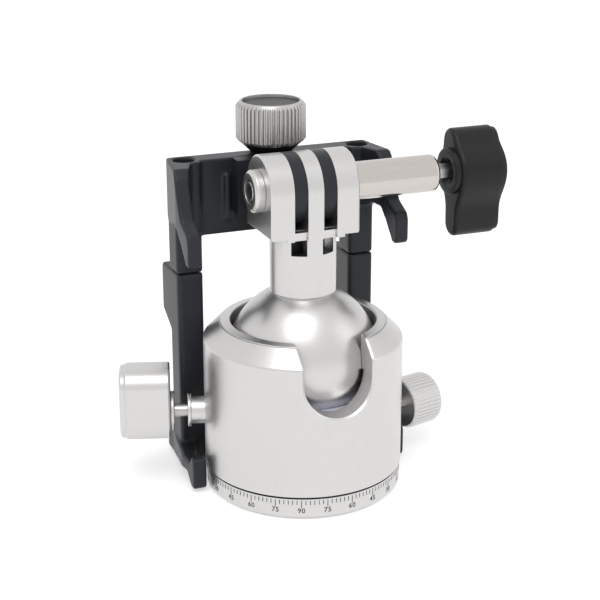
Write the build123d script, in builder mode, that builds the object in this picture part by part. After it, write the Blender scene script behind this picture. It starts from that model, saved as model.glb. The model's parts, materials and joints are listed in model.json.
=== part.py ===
"""Tripod ball head with a three-fin action mount and a phone clamp folded down behind it.

Millimetres, +Z up. The origin is the centre of the base ring's underside. +X runs along the
fin pin towards its wing knob, and the drop notch in the housing faces -Y.
"""

import os
from math import cos, radians, sin, sqrt

from build123d import *

os.makedirs("parts", exist_ok=True)

# ---------------------------------------------------------------- fits
run_gap = 0.06  # radial clearance of a shaft that turns or slides in its bore
face_gap = 0.15  # between flat faces that slide past each other
air_gap = 0.4  # between pieces that pass without touching

# ---------------------------------------------------------------- base and pan joint
body_r = 21.0  # radius of the housing, which most other sizes follow
ring_r = body_r - 0.2
ring_height = 5.0
ring_chamfer = 1.0
plate_r = 15.0  # round base plate pressed into the degree ring
spindle_r = 8.0
socket_r = 3.2  # threaded socket for a quarter-inch tripod screw, at the thread's roots
socket_depth = 9.0
washer_r = body_r - 0.8
washer_thick = 0.3
clip_thick = 0.6
clip_wide = 1.2
clip_groove = 0.8
clip_mouth = 2.4
spindle_nose = 0.4
spindle_dish_r = 6.3  # the dish in the spindle's top clears the ball
spindle_dish = 1.3

# ---------------------------------------------------------------- housing
rim_r = body_r - 3.6  # inner end of the broad top bevel, where the top ring sits
bevel_ease = 0.8
bevel_height = 3.5
mouth_r = rim_r - 2.1
cavity_r = rim_r - 0.8
web_top = 11.9  # floor web that the spindle turns in
floor_z = 13.2  # floor of the ball cavity

# ---------------------------------------------------------------- ball and stem
ball_low = 12.7  # lowest point of the ball
cup_wall = 0.7  # between the ball's widest and the housing's cavity
ball_r = cavity_r - cup_wall
ball_z = ball_low + ball_r
neck_r = 6.9
rim_z = ball_z + 8.1
seat_z = ball_z + 0.8  # shoulder that the top ring rests on
cup_top = ball_z - 6.8
cup_bottom = ball_low + 1.7
notch_play = 0.5  # each side of the dropped neck
notch_r = neck_r + notch_play
notch_bottom = ball_z - 6.4
ball_flat_z = ball_low + 5.0  # where the stem screw's head bears
stem_screw_r = 2.0
stem_head_r = 3.4
stem_head_thick = 3.0
stem_hex = 1.5
stem_hex_deep = 1.8

# ---------------------------------------------------------------- three-fin block and its pin
pin_z = 65.2
fin_r = 7.3
fin_drop = 8.8  # from the pin down to the block's underside
fin_thick = 5.0  # outer fins
mid_fin = 3.4
fin_gap = 2.9
fin_edge = 0.35
tab_half = 6.3
tab_thick = 0.35
tab_drop = 0.6
spigot_r = 4.6
spigot_length = 9.0
pocket_depth = 3.3  # the gaps run on down the neck as short pockets
pin_r = 2.5
bolt_socket_r = 1.1
bolt_socket_deep = 1.6
boss_r = 4.35
boss_length = 2.1
sleeve_r = 3.95
sleeve_end = 30.9
sleeve_round = 1.0
stub_length = 1.7
stub_step = 0.2  # from the sleeve down to the hexagon's corners
wing_start = 33.7
wing_length = 11.2
wing_hub_r = 5.6
wing_up = 9.0  # reach of the short wing above the pin
wing_up_wide = 5.9
wing_down = 14.3  # reach of the long wing below it
wing_down_wide = 5.2
wing_lean = 14.0  # the short wing leans towards the clamp
wing_lip = 1.4  # length of the stepped lip at the outer face
wing_lip_step = 0.4
wing_edge = 0.45
wing_boss_r = 4.9
wing_socket = 6.0

# ---------------------------------------------------------------- lock knobs
main_angle = 107.7  # from the notch round to the left
main_z = 16.5
main_shaft_r = 1.45
main_bush_r = 2.9
main_bush_out = 3.5  # past the housing, as the others named out
main_flange = 0.65
main_flange_thick = 0.7
main_collar_r = 4.2
main_collar_thick = 0.9
main_knob_out = 7.2
main_lip = 1.1  # length of the stepped lip at the knob's outer end
main_lip_step = 0.35
knob_socket = 5.0  # how far a lock screw reaches into its knob
main_knob_length = 10.5
main_knob_wide = 11.0
main_knob_low = 5.4
main_knob_high = 10.3
main_knob_corner = 4.0
pan_angle = 104.5  # from the notch round to the right
pan_z = 10.4
pan_shaft_r = 1.3
pan_bush_r = 2.4
pan_bush_start = 11.0
pan_bush_out = 1.3
shoe_r = 1.5
shoe_length = 1.8
pan_knob_out = 6.0
pan_knob_socket = 4.0
pan_knob_length = 8.4
pan_knob_ease = 0.8
pan_knob_taper = 40
pan_knob_r = 5.75
pan_ridges = 36
pan_ridge_r = 0.3

# ---------------------------------------------------------------- phone clamp
column_out = body_r + 1.6
column_wide = 5.8
column_front = body_r - 6.3
column_deep = 6.3
column_back = column_front + column_deep
column_round = 0.8
jaw_top = 3.2  # above the pin
seam_z = 44.3
foot_z = 0.7
bar_front = column_front + 1.2
bar_drop = 13.2  # from the pin down to the bar's lower edge
hook_clear = 0.5  # the arms pass this far outside the housing
hook_thick = 3.0
hook_out = body_r + hook_clear + hook_thick
flare_y = 9.0  # the plates flare outwards from the columns' backs to here
hook_tip_front = 0.8
hook_tip_thick = 2.7
hook_tip_drop = 15.2
hook_arch_drop = 8.6
arm_top = 5.6
arm_rise = 2.4  # the arm's underside climbs towards the finger
finger_top = 7.6
cross_front = body_r + 1.2
cross_thick = 3.2
cross_top = 12.0
lug_back = column_back + 5.4
lug_low = 31.0
rib_x = 10.8
rib_wide = 1.3
rib_high = 0.7
rib_top = 0.2  # both from the pin, downwards
rib_low = 10.2
adapter_half = 9.6
adapter_thick = 3.4
adapter_drop = 8.4
tongue_half = 5.0
tongue_thick = 4.4
tongue_top = 1.0  # both from the pin, downwards
tongue_low = 8.0
prong_play = 0.06
rod_r = 1.5
rod_bore_r = 2.3
rod_foot_z = 8.4
rod_foot_r = 2.15
rod_foot_thick = 1.6
rod_guide = 2.4  # length of the close bore at the top of each post
rod_top = 64.0
screw_head_r = 2.1
screw_head_thick = 1.6
spring_turns = 9
spring_wire_r = 0.28
clamp_knob_y = bar_front + 2.4
clamp_knob_r = 7.5
clamp_knob_low = 5.4  # above the pin, as the three below
clamp_knob_top = 14.2
clamp_flange_r = 4.4
clamp_screw_r = 2.0
clamp_screw_length = 14.0
clamp_screw_grip = 3.0  # length held in the knob
cap_r = 6.1
cap_depth = 0.9
knurl_ridges = 46
knurl_depth = 0.28

# ---------------------------------------------------------------- worked out from the above
main_bush_end = body_r + main_bush_out
main_knob_start = body_r + main_knob_out
pan_bush_end = body_r + pan_bush_out
pan_knob_start = body_r + pan_knob_out
pan_knob_end = pan_knob_start + pan_knob_length
cross_back = cross_front + cross_thick
housing_z = ring_height + washer_thick
notch_axis_z = notch_bottom + notch_r
neck_top = pin_z - fin_drop
gap_x = (mid_fin + fin_gap) / 2
block_half = mid_fin / 2 + fin_gap + fin_thick
column_x = column_out - column_wide / 2
column_y = (column_front + column_back) / 2
jaw_top_z = pin_z + jaw_top
prong_thick = fin_gap - 2 * prong_play


def radial_plane(angle, side, reach, height):
    """A plane square to a horizontal axis that leaves the housing at an angle from the notch."""
    out = Vector(side * sin(radians(angle)), -cos(radians(angle)), 0)
    across = Vector(0, 0, 1).cross(out)
    return Plane(origin=out * reach + Vector(0, 0, height), x_dir=across, z_dir=out)


def main_plane(reach):
    return radial_plane(main_angle, -1, reach, main_z)


def pan_plane(reach):
    return radial_plane(pan_angle, 1, reach, pan_z)


def pin_plane(x):
    """A plane square to the fin pin, local x to the back and local y up."""
    return Plane(origin=(x, 0, pin_z), x_dir=(0, 1, 0), z_dir=(1, 0, 0))


# ================================================================ base
# The base plate is one turning: a disc, the spindle that the housing pans on, and its socket.
clip_z = web_top + face_gap
spindle_top = clip_z + clip_thick + spindle_nose
with BuildPart() as base_plate:
    with BuildSketch(Plane.XZ):
        with BuildLine():
            Polyline(
                (0, 0),
                (plate_r, 0),
                (plate_r, ring_height),
                (spindle_r, ring_height),
                (spindle_r, clip_z),
                (spindle_r - clip_groove, clip_z),
                (spindle_r - clip_groove, clip_z + clip_thick),
                (spindle_r, clip_z + clip_thick),
                (spindle_r - spindle_nose, spindle_top),
                (spindle_dish_r, spindle_top),
                (spindle_dish_r - 0.6, spindle_top - spindle_dish),
                (0, spindle_top - spindle_dish),
                close=True,
            )
        make_face()
    revolve(axis=Axis.Z)
    with BuildSketch(Plane.XY):
        Circle(socket_r)
    extrude(amount=socket_depth, mode=Mode.SUBTRACT)
base_plate.part.label = "base_plate"
export_step(base_plate.part, "parts/base_plate.step")

with BuildPart() as degree_ring:
    with BuildSketch(Plane.XZ):
        with BuildLine():
            Polyline(
                (plate_r, 0),
                (ring_r - ring_chamfer, 0),
                (ring_r, ring_chamfer),
                (ring_r, ring_height),
                (plate_r, ring_height),
                close=True,
            )
        make_face()
    revolve(axis=Axis.Z)
degree_ring.part.label = "degree_ring"
export_step(degree_ring.part, "parts/degree_ring.step")

# A thin slip washer keeps the housing off the ring and shows as a dark line between them.
with BuildPart() as pan_washer:
    with BuildSketch(Plane.XY.offset(ring_height)):
        Circle(washer_r)
        Circle(spindle_r + air_gap, mode=Mode.SUBTRACT)
    extrude(amount=washer_thick - 0.05)
pan_washer.part.label = "pan_washer"
export_step(pan_washer.part, "parts/pan_washer.step")

# The snap ring in the spindle's groove holds the housing down.
with BuildPart() as retaining_clip:
    with BuildSketch(Plane.XY.offset(clip_z)):
        Circle(spindle_r + clip_wide)
        Circle(spindle_r - clip_groove, mode=Mode.SUBTRACT)
        with Locations((0, spindle_r)):
            Rectangle(clip_mouth, 4 * clip_wide, mode=Mode.SUBTRACT)
    extrude(amount=clip_thick)
retaining_clip.part.label = "retaining_clip"
export_step(retaining_clip.part, "parts/retaining_clip.step")

# ================================================================ housing
clip_room_r = spindle_r + clip_wide + air_gap
with BuildPart() as housing:
    with BuildSketch(Plane.XZ):
        with BuildLine():
            Polyline(
                (spindle_r + run_gap, housing_z),
                (body_r, housing_z),
                (body_r, rim_z - bevel_height - bevel_ease / 2),
                (body_r - bevel_ease / 4, rim_z - bevel_height + bevel_ease / 4),
                (rim_r, rim_z),
                (rim_r, seat_z),
                (cavity_r, seat_z),
                (cavity_r, floor_z),
                (clip_room_r, floor_z),
                (clip_room_r, web_top),
                (spindle_r + run_gap, web_top),
                close=True,
            )
        make_face()
    revolve(axis=Axis.Z)
    # the drop notch for the neck: straight walls over a round bottom
    with BuildSketch(Plane.XZ):
        with Locations((0, notch_axis_z)):
            Circle(notch_r)
        with Locations((0, (notch_axis_z + rim_z + 1) / 2)):
            Rectangle(2 * notch_r, rim_z + 1 - notch_axis_z)
    extrude(amount=body_r + 1, mode=Mode.SUBTRACT)
    # bores for the two lock-screw bushes
    with BuildSketch(main_plane(0)):
        Circle(main_bush_r)
    extrude(amount=body_r + 1, mode=Mode.SUBTRACT)
    with BuildSketch(pan_plane(pan_bush_start - 0.3)):
        Circle(pan_bush_r)
    extrude(amount=body_r, mode=Mode.SUBTRACT)
    with BuildSketch(pan_plane(spindle_r - 1)):
        Circle(shoe_r + run_gap)
    extrude(amount=pan_bush_start - spindle_r + 1, mode=Mode.SUBTRACT)
housing.part.label = "housing"
export_step(housing.part, "parts/housing.step")

# The top ring closes the ball in. Its lower edge is the upper seat, and it is open at the notch.
seat_sphere = ball_r + run_gap
lip_z = ball_z + sqrt(seat_sphere**2 - mouth_r**2)
seat_low_r = sqrt(seat_sphere**2 - (seat_z - ball_z) ** 2)
with BuildPart() as top_ring:
    with BuildSketch(Plane.XZ):
        with BuildLine():
            Line((seat_low_r, seat_z), (rim_r, seat_z))
            Line((rim_r, seat_z), (rim_r, rim_z))
            Line((rim_r, rim_z), (mouth_r, rim_z + 0.2))
            Line((mouth_r, rim_z + 0.2), (mouth_r, lip_z))
            RadiusArc((mouth_r, lip_z), (seat_low_r, seat_z), seat_sphere)
        make_face()
    revolve(axis=Axis.Z)
    with BuildSketch(Plane.XZ):
        with Locations((0, notch_axis_z)):
            Circle(notch_r)
        with Locations((0, (notch_axis_z + rim_z + 1) / 2)):
            Rectangle(2 * notch_r, rim_z + 1 - notch_axis_z)
    extrude(amount=body_r + 1, mode=Mode.SUBTRACT)
top_ring.part.label = "top_ring"
export_step(top_ring.part, "parts/top_ring.step")

# The white cup under the ball. The main screw's cone bears in its side groove and lifts it.
cup_r = cavity_r - run_gap
cup_rim_r = sqrt(seat_sphere**2 - (cup_top - ball_z) ** 2)
cup_hole_r = sqrt(seat_sphere**2 - (cup_bottom - ball_z) ** 2)
cup_groove = main_shaft_r + 0.5
with BuildPart() as ball_cup:
    with BuildSketch(Plane.XZ):
        with BuildLine():
            Line((cup_hole_r, cup_bottom), (cup_r, cup_bottom))
            Line((cup_r, cup_bottom), (cup_r, main_z - cup_groove))
            Line((cup_r, main_z - cup_groove), (cup_r - cup_groove, main_z))
            Line((cup_r - cup_groove, main_z), (cup_r, main_z + cup_groove))
            Line((cup_r, main_z + cup_groove), (cup_r, cup_top))
            Line((cup_r, cup_top), (cup_rim_r, cup_top))
            RadiusArc((cup_rim_r, cup_top), (cup_hole_r, cup_bottom), seat_sphere)
        make_face()
    revolve(axis=Axis.Z)
ball_cup.part.label = "ball_cup"
export_step(ball_cup.part, "parts/ball_cup.step")

# ================================================================ main lock: bush, screw, collar, knob
with BuildPart() as main_bush:
    with BuildSketch(main_plane(cavity_r + 0.6)):
        Circle(main_bush_r)
        Circle(main_shaft_r + run_gap, mode=Mode.SUBTRACT)
    extrude(amount=main_bush_end - cavity_r - 0.6)
    with BuildSketch(main_plane(main_bush_end - main_flange_thick)):
        Circle(main_bush_r + main_flange)
        Circle(main_bush_r, mode=Mode.SUBTRACT)
    extrude(amount=main_flange_thick)
main_bush.part.label = "main_bush"
export_step(main_bush.part, "parts/main_bush.step")

main_tip = cup_r - cup_groove + 0.3
with BuildPart() as main_screw:
    with BuildSketch(main_plane(main_tip + main_shaft_r)):
        Circle(main_shaft_r)
    extrude(amount=main_knob_start + knob_socket - main_tip - main_shaft_r)
    with BuildSketch(main_plane(main_tip + main_shaft_r)):
        Circle(main_shaft_r)
    with BuildSketch(main_plane(main_tip)):
        Circle(0.2)
    loft()
main_screw.part.label = "main_screw"
export_step(main_screw.part, "parts/main_screw.step")

with BuildPart() as main_collar:
    with BuildSketch(main_plane(main_knob_start - main_collar_thick)):
        Circle(main_collar_r)
        Circle(main_shaft_r, mode=Mode.SUBTRACT)
    extrude(amount=main_collar_thick)
    chamfer(main_collar.edges().filter_by(GeomType.CIRCLE).sort_by(SortBy.RADIUS)[-2:], 0.2)
main_collar.part.label = "main_collar"
export_step(main_collar.part, "parts/main_collar.step")

# The main knob is a rounded block that reaches further above its shaft than below it.
with BuildPart() as main_knob:
    with BuildSketch(main_plane(main_knob_start)):
        with Locations((0, (main_knob_high - main_knob_low) / 2)):
            RectangleRounded(main_knob_wide, main_knob_high + main_knob_low, main_knob_corner)
    extrude(amount=main_knob_length - main_lip)
    knob_axis = Axis(main_plane(0).origin, main_plane(0).z_dir)
    chamfer(main_knob.faces().sort_by(knob_axis)[0].edges(), 0.3)
    chamfer(main_knob.faces().sort_by(knob_axis)[-1].edges(), 0.3)
    with BuildSketch(main_plane(main_knob_start + main_knob_length - main_lip)):
        with Locations((0, (main_knob_high - main_knob_low) / 2)):
            RectangleRounded(
                main_knob_wide - 2 * main_lip_step,
                main_knob_high + main_knob_low - 2 * main_lip_step,
                main_knob_corner - main_lip_step,
            )
    extrude(amount=main_lip)
    chamfer(main_knob.faces().sort_by(knob_axis)[-1].edges(), 0.4)
    with BuildSketch(main_plane(main_knob_start)):
        Circle(main_shaft_r)
    extrude(amount=knob_socket, mode=Mode.SUBTRACT)
main_knob.part.label = "main_knob"
export_step(main_knob.part, "parts/main_knob.step")

# ================================================================ pan lock: bush, shoe, screw, knob
with BuildPart() as pan_bush:
    with BuildSketch(pan_plane(pan_bush_start)):
        Circle(pan_bush_r)
        Circle(pan_shaft_r + run_gap, mode=Mode.SUBTRACT)
    extrude(amount=pan_bush_end - pan_bush_start)
pan_bush.part.label = "pan_bush"
export_step(pan_bush.part, "parts/pan_bush.step")

shoe_start = spindle_r + 0.2
shoe_end = shoe_start + shoe_length
with BuildPart() as brake_shoe:
    with BuildSketch(pan_plane(shoe_start)):
        Circle(shoe_r)
    extrude(amount=shoe_length)
brake_shoe.part.label = "brake_shoe"
export_step(brake_shoe.part, "parts/brake_shoe.step")

with BuildPart() as pan_screw:
    with BuildSketch(pan_plane(shoe_end + 0.1)):
        Circle(pan_shaft_r)
    extrude(amount=pan_knob_start + pan_knob_socket - shoe_end - 0.1)
pan_screw.part.label = "pan_screw"
export_step(pan_screw.part, "parts/pan_screw.step")

with BuildPart() as pan_knob:
    with BuildSketch(pan_plane(pan_knob_start)):
        Circle(pan_knob_r)
        with PolarLocations(pan_knob_r + pan_ridge_r / 3, pan_ridges):
            RegularPolygon(pan_ridge_r, 4, rotation=45, mode=Mode.SUBTRACT)
    extrude(amount=pan_knob_length - pan_knob_ease)
    with BuildSketch(pan_plane(pan_knob_end - pan_knob_ease)):
        Circle(pan_knob_r - pan_ridge_r)
    extrude(amount=pan_knob_ease, taper=pan_knob_taper)
    with BuildSketch(pan_plane(pan_knob_start)):
        Circle(pan_shaft_r)
    extrude(amount=pan_knob_socket, mode=Mode.SUBTRACT)
pan_knob.part.label = "pan_knob"
export_step(pan_knob.part, "parts/pan_knob.step")

# ================================================================ ball, neck and fin block
with BuildPart() as ball:
    with Locations((0, 0, ball_z)):
        Sphere(ball_r)
    with BuildSketch(Plane.XY.offset(ball_z)):
        Circle(neck_r)
    extrude(amount=neck_top - ball_z)
    # socket for the fin block's spigot, and the screw's way up from below
    with BuildSketch(Plane.XY.offset(neck_top - spigot_length)):
        Circle(spigot_r)
    extrude(amount=spigot_length, mode=Mode.SUBTRACT)
    with BuildSketch(Plane.XY.offset(ball_flat_z)):
        Circle(stem_screw_r)
    extrude(amount=neck_top - ball_flat_z, mode=Mode.SUBTRACT)
    with BuildSketch(Plane.XY.offset(ball_low - 1)):
        Circle(stem_head_r)
    extrude(amount=ball_flat_z - ball_low + 1, mode=Mode.SUBTRACT)
    # the fin gaps run on into the front of the neck
    with BuildSketch(Plane.XY.offset(neck_top - pocket_depth)):
        with Locations((gap_x, -neck_r), (-gap_x, -neck_r)):
            Rectangle(fin_gap, 2 * (neck_r - spigot_r) + 2)
    extrude(amount=pocket_depth, mode=Mode.SUBTRACT)
ball.part.label = "ball"
export_step(ball.part, "parts/ball.step")

with BuildPart() as fin_block:
    with BuildSketch(pin_plane(-block_half)):
        Circle(fin_r)
        with Locations((0, -fin_drop / 2)):
            Rectangle(2 * fin_r, fin_drop)
    extrude(amount=2 * block_half)
    chamfer(fin_block.faces().filter_by(Axis.X).edges(), fin_edge)
    # a shallow tab in front of the neck
    with BuildSketch(Plane.XY.offset(neck_top - tab_drop)):
        with Locations((0, -fin_r + tab_thick / 2)):
            Rectangle(2 * tab_half, tab_thick)
    extrude(amount=tab_drop)
    # two gaps for the prongs, floored just below their round eyes
    gap_floor = fin_r + air_gap
    with BuildSketch(Plane.XZ.offset(-fin_r - 1)):
        with Locations((gap_x, pin_z + (fin_r - gap_floor) / 2), (-gap_x, pin_z + (fin_r - gap_floor) / 2)):
            Rectangle(fin_gap, fin_r + gap_floor)
    extrude(amount=2 * fin_r + 2, mode=Mode.SUBTRACT)
    # in front the gaps run down through the floor and the tab
    with BuildSketch(Plane.XY.offset(neck_top - tab_drop)):
        with Locations((gap_x, -fin_r), (-gap_x, -fin_r)):
            Rectangle(fin_gap, 2 * (fin_r - spigot_r - air_gap))
    extrude(amount=pin_z - gap_floor - neck_top + tab_drop, mode=Mode.SUBTRACT)
    with BuildSketch(Plane.XY.offset(neck_top - spigot_length)):
        Circle(spigot_r)
    extrude(amount=spigot_length)
    with BuildSketch(Plane.XY.offset(neck_top - spigot_length)):
        Circle(stem_screw_r)
    extrude(amount=spigot_length - 1, mode=Mode.SUBTRACT)
    # the pin's bore, wider in the left fin where the nut is pressed in
    with BuildSketch(pin_plane(-block_half)):
        Circle(pin_r + run_gap)
    extrude(amount=2 * block_half, mode=Mode.SUBTRACT)
    with BuildSketch(pin_plane(-block_half)):
        Circle(boss_r - 0.8)
    extrude(amount=fin_thick - 1.5, mode=Mode.SUBTRACT)
fin_block.part.label = "fin_block"
export_step(fin_block.part, "parts/fin_block.step")

with BuildPart() as stem_screw:
    with BuildSketch(Plane.XY.offset(ball_flat_z - stem_head_thick)):
        Circle(stem_head_r - 0.1)
    extrude(amount=stem_head_thick)
    with BuildSketch(Plane.XY.offset(ball_flat_z)):
        Circle(stem_screw_r)
    extrude(amount=neck_top - 2.5 - ball_flat_z)
    with BuildSketch(Plane.XY.offset(ball_flat_z - stem_head_thick)):
        RegularPolygon(stem_hex, 6, major_radius=False)
    extrude(amount=stem_hex_deep, mode=Mode.SUBTRACT)
stem_screw.part.label = "stem_screw"
export_step(stem_screw.part, "parts/stem_screw.step")

with BuildPart() as pin_nut:
    with BuildSketch(pin_plane(-block_half - boss_length)):
        Circle(boss_r)
    extrude(amount=boss_length)
    chamfer(pin_nut.faces().sort_by(Axis.X)[0].edges(), 0.6)
    with BuildSketch(pin_plane(-block_half)):
        Circle(boss_r - 0.8)
    extrude(amount=fin_thick - 1.5)
    with BuildSketch(pin_plane(-block_half - boss_length)):
        Circle(pin_r + run_gap)
    extrude(amount=boss_length + fin_thick, mode=Mode.SUBTRACT)
pin_nut.part.label = "pin_nut"
export_step(pin_nut.part, "parts/pin_nut.step")

# ================================================================ thumbscrew: bolt, sleeve, stub, wing knob
with BuildPart() as pin_bolt:
    with BuildSketch(pin_plane(-block_half - boss_length + 0.5)):
        Circle(pin_r)
    extrude(amount=block_half + boss_length - 0.5 + wing_start + wing_socket)
    chamfer(pin_bolt.faces().sort_by(Axis.X)[0].edges(), 0.5)
    with BuildSketch(pin_plane(-block_half - boss_length + 0.5)):
        RegularPolygon(bolt_socket_r, 6, major_radius=False)
    extrude(amount=bolt_socket_deep, mode=Mode.SUBTRACT)
pin_bolt.part.label = "pin_bolt"
export_step(pin_bolt.part, "parts/pin_bolt.step")

with BuildPart() as pin_sleeve:
    with BuildSketch(pin_plane(block_half + face_gap)):
        Circle(sleeve_r)
    extrude(amount=sleeve_end - block_half - face_gap)
    fillet(pin_sleeve.faces().sort_by(Axis.X)[-1].edges(), sleeve_round)
    with BuildSketch(pin_plane(block_half + face_gap)):
        Circle(pin_r)
    extrude(amount=sleeve_end - block_half, mode=Mode.SUBTRACT)
pin_sleeve.part.label = "pin_sleeve"
export_step(pin_sleeve.part, "parts/pin_sleeve.step")

with BuildPart() as knob_stub:
    with BuildSketch(pin_plane(sleeve_end)):
        RegularPolygon(sleeve_r - stub_step, 6, major_radius=True)
        Circle(pin_r, mode=Mode.SUBTRACT)
    extrude(amount=stub_length)
knob_stub.part.label = "knob_stub"
export_step(knob_stub.part, "parts/knob_stub.step")


def wing_outline(x, shrink):
    """The two-winged outline, seen along the pin, drawn in by shrink."""
    with BuildSketch(pin_plane(x)) as flat:
        Circle(wing_hub_r)
        with Locations(Rot(0, 0, -wing_lean)):
            with Locations((0, (wing_up - wing_up_wide / 2) / 2)):
                SlotCenterToCenter(wing_up - wing_up_wide / 2, wing_up_wide, rotation=90)
            with Locations((0, -(wing_down - wing_down_wide / 2) / 2)):
                SlotCenterToCenter(wing_down - wing_down_wide / 2, wing_down_wide, rotation=90)
        if shrink:
            offset(amount=-shrink)
    return flat.sketch


boss_face = sleeve_end + stub_length
with BuildPart() as wing_knob:
    extrude(wing_outline(wing_start + wing_lip, 0), amount=wing_length - 2 * wing_lip)
    extrude(wing_outline(wing_start, wing_lip_step), amount=wing_length)
    wing_ends = wing_knob.faces().filter_by(Axis.X).sort_by(Axis.X)
    chamfer(wing_ends[0].edges() + wing_ends[-1].edges(), wing_edge)
    with BuildSketch(pin_plane(boss_face)):
        Circle(wing_boss_r)
    extrude(amount=wing_start - boss_face)
    with BuildSketch(pin_plane(sleeve_end)):
        Circle(pin_r)
    extrude(amount=wing_start + wing_socket - sleeve_end, mode=Mode.SUBTRACT)
wing_knob.part.label = "wing_knob"
export_step(wing_knob.part, "parts/wing_knob.step")

# ================================================================ phone clamp: upper jaw
# One side profile serves both hooks. Points are (y, height above the pin).
hook_x = hook_out - hook_thick
hook_profile = (
    (column_back, jaw_top),
    (10.4, jaw_top),
    (8.9, 1.4),
    (6.4, -4.8),
    (5.4, -6.6),
    (hook_tip_front + 0.7, -8.4),
    (hook_tip_front, -9.8),
    (hook_tip_front, -hook_tip_drop + 0.6),
    (hook_tip_front + 0.6, -hook_tip_drop),
    (hook_tip_front + hook_tip_thick - 0.6, -hook_tip_drop),
    (hook_tip_front + hook_tip_thick, -hook_tip_drop + 0.8),
    (6.2, -11.4),
    (9.0, -hook_arch_drop - 0.4),
    (11.6, -hook_arch_drop),
    (column_front, -hook_arch_drop - 1.2),
    (column_back, -hook_arch_drop - 1.2),
)

# Seen from above, a plate leaves the column's back corner and flares out past the housing.
def plate_plan(side):
    return [
        (side * (column_x - 0.5), column_back),
        (side * column_out, column_back),
        (side * hook_out, flare_y),
        (side * hook_out, hook_tip_front - 1),
        (side * hook_x, hook_tip_front - 1),
        (side * hook_x, flare_y),
        (side * (column_x - 0.5), column_front),
    ]


with BuildPart() as hooks:
    with BuildSketch(pin_plane(-hook_out)):
        with BuildLine():
            Polyline(*hook_profile, close=True)
        make_face()
    extrude(amount=2 * hook_out)
    with BuildSketch(Plane.XY.offset(seam_z)):
        for side in (-1, 1):
            with BuildLine():
                Polyline(*plate_plan(side), close=True)
            make_face()
    extrude(amount=jaw_top_z - seam_z, mode=Mode.INTERSECT)

with BuildPart() as upper_jaw:
    with BuildSketch(Plane.XY.offset(seam_z)):
        with Locations((-column_x, column_y), (column_x, column_y)):
            RectangleRounded(column_wide, column_back - column_front, column_round)
    extrude(amount=jaw_top_z - seam_z)
    add(hooks.part)
    with BuildSketch(Plane.XY.offset(pin_z - bar_drop)):
        with Locations((0, (bar_front + column_back) / 2)):
            Rectangle(2 * column_x, column_back - bar_front)
    extrude(amount=bar_drop + jaw_top)
    # an upright rib each side of the adapter
    with BuildSketch(Plane.XZ.offset(-bar_front)):
        with Locations((-rib_x, pin_z - (rib_top + rib_low) / 2), (rib_x, pin_z - (rib_top + rib_low) / 2)):
            Rectangle(rib_wide, rib_low - rib_top)
    extrude(amount=rib_high)
    # rods pass up each column, held by screws sunk in from the top
    for side in (-1, 1):
        with BuildSketch(Plane.XY.offset(seam_z)):
            with Locations((side * column_x, column_y)):
                Circle(rod_r)
        extrude(amount=jaw_top_z - seam_z, mode=Mode.SUBTRACT)
        with BuildSketch(Plane.XY.offset(rod_top)):
            with Locations((side * column_x, column_y)):
                Circle(rod_bore_r)
        extrude(amount=jaw_top_z - rod_top, mode=Mode.SUBTRACT)
    # pocket for the adapter's tongue, and the clamp screw's bore
    with BuildSketch(Plane.XZ.offset(-bar_front)):
        with Locations((0, pin_z - (tongue_top + tongue_low) / 2)):
            Rectangle(2 * tongue_half, tongue_low - tongue_top)
    extrude(amount=-tongue_thick, mode=Mode.SUBTRACT)
    with BuildSketch(Plane.XY.offset(jaw_top_z)):
        with Locations((0, clamp_knob_y)):
            Circle(clamp_screw_r + run_gap)
    extrude(amount=-clamp_screw_length, mode=Mode.SUBTRACT)
upper_jaw.part.label = "upper_jaw"
export_step(upper_jaw.part, "parts/upper_jaw.step")

# The two-prong adapter: a plate on the bar, a tongue in its pocket, two round eyes on the pin.
with BuildPart() as prong_adapter:
    with BuildSketch(Plane.XZ.offset(-bar_front)):
        with Locations((0, pin_z + (jaw_top - adapter_drop) / 2)):
            Rectangle(2 * adapter_half, jaw_top + adapter_drop)
    extrude(amount=adapter_thick)
    with BuildSketch(Plane.XZ.offset(-bar_front)):
        with Locations((0, pin_z - (tongue_top + tongue_low) / 2)):
            Rectangle(2 * tongue_half, tongue_low - tongue_top)
    extrude(amount=-tongue_thick)
    for prong_x in (-gap_x, gap_x):
        with BuildSketch(pin_plane(prong_x - prong_thick / 2)):
            Circle(fin_r)
            with Locations(((bar_front - adapter_thick) / 2, (jaw_top - adapter_drop) / 2)):
                Rectangle(bar_front - adapter_thick, jaw_top + adapter_drop - 2)
        extrude(amount=prong_thick)
    with BuildSketch(pin_plane(-block_half)):
        Circle(pin_r + run_gap)
    extrude(amount=2 * block_half, mode=Mode.SUBTRACT)
    with BuildSketch(Plane.XY.offset(pin_z)):
        with Locations((0, clamp_knob_y)):
            Circle(clamp_screw_r + run_gap)
    extrude(amount=-clamp_screw_length, mode=Mode.SUBTRACT)
prong_adapter.part.label = "prong_adapter"
export_step(prong_adapter.part, "parts/prong_adapter.step")

# Guide rods hang from the columns into the posts. Their feet carry the closing springs.
with BuildPart() as guide_rods:
    for side in (-1, 1):
        with BuildSketch(Plane.XY.offset(rod_foot_z)):
            with Locations((side * column_x, column_y)):
                Circle(rod_foot_r)
        extrude(amount=rod_foot_thick)
        with BuildSketch(Plane.XY.offset(rod_foot_z)):
            with Locations((side * column_x, column_y)):
                Circle(rod_r)
        extrude(amount=rod_top - rod_foot_z)
guide_rods.part.label = "guide_rods"
export_step(guide_rods.part, "parts/guide_rods.step")

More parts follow.
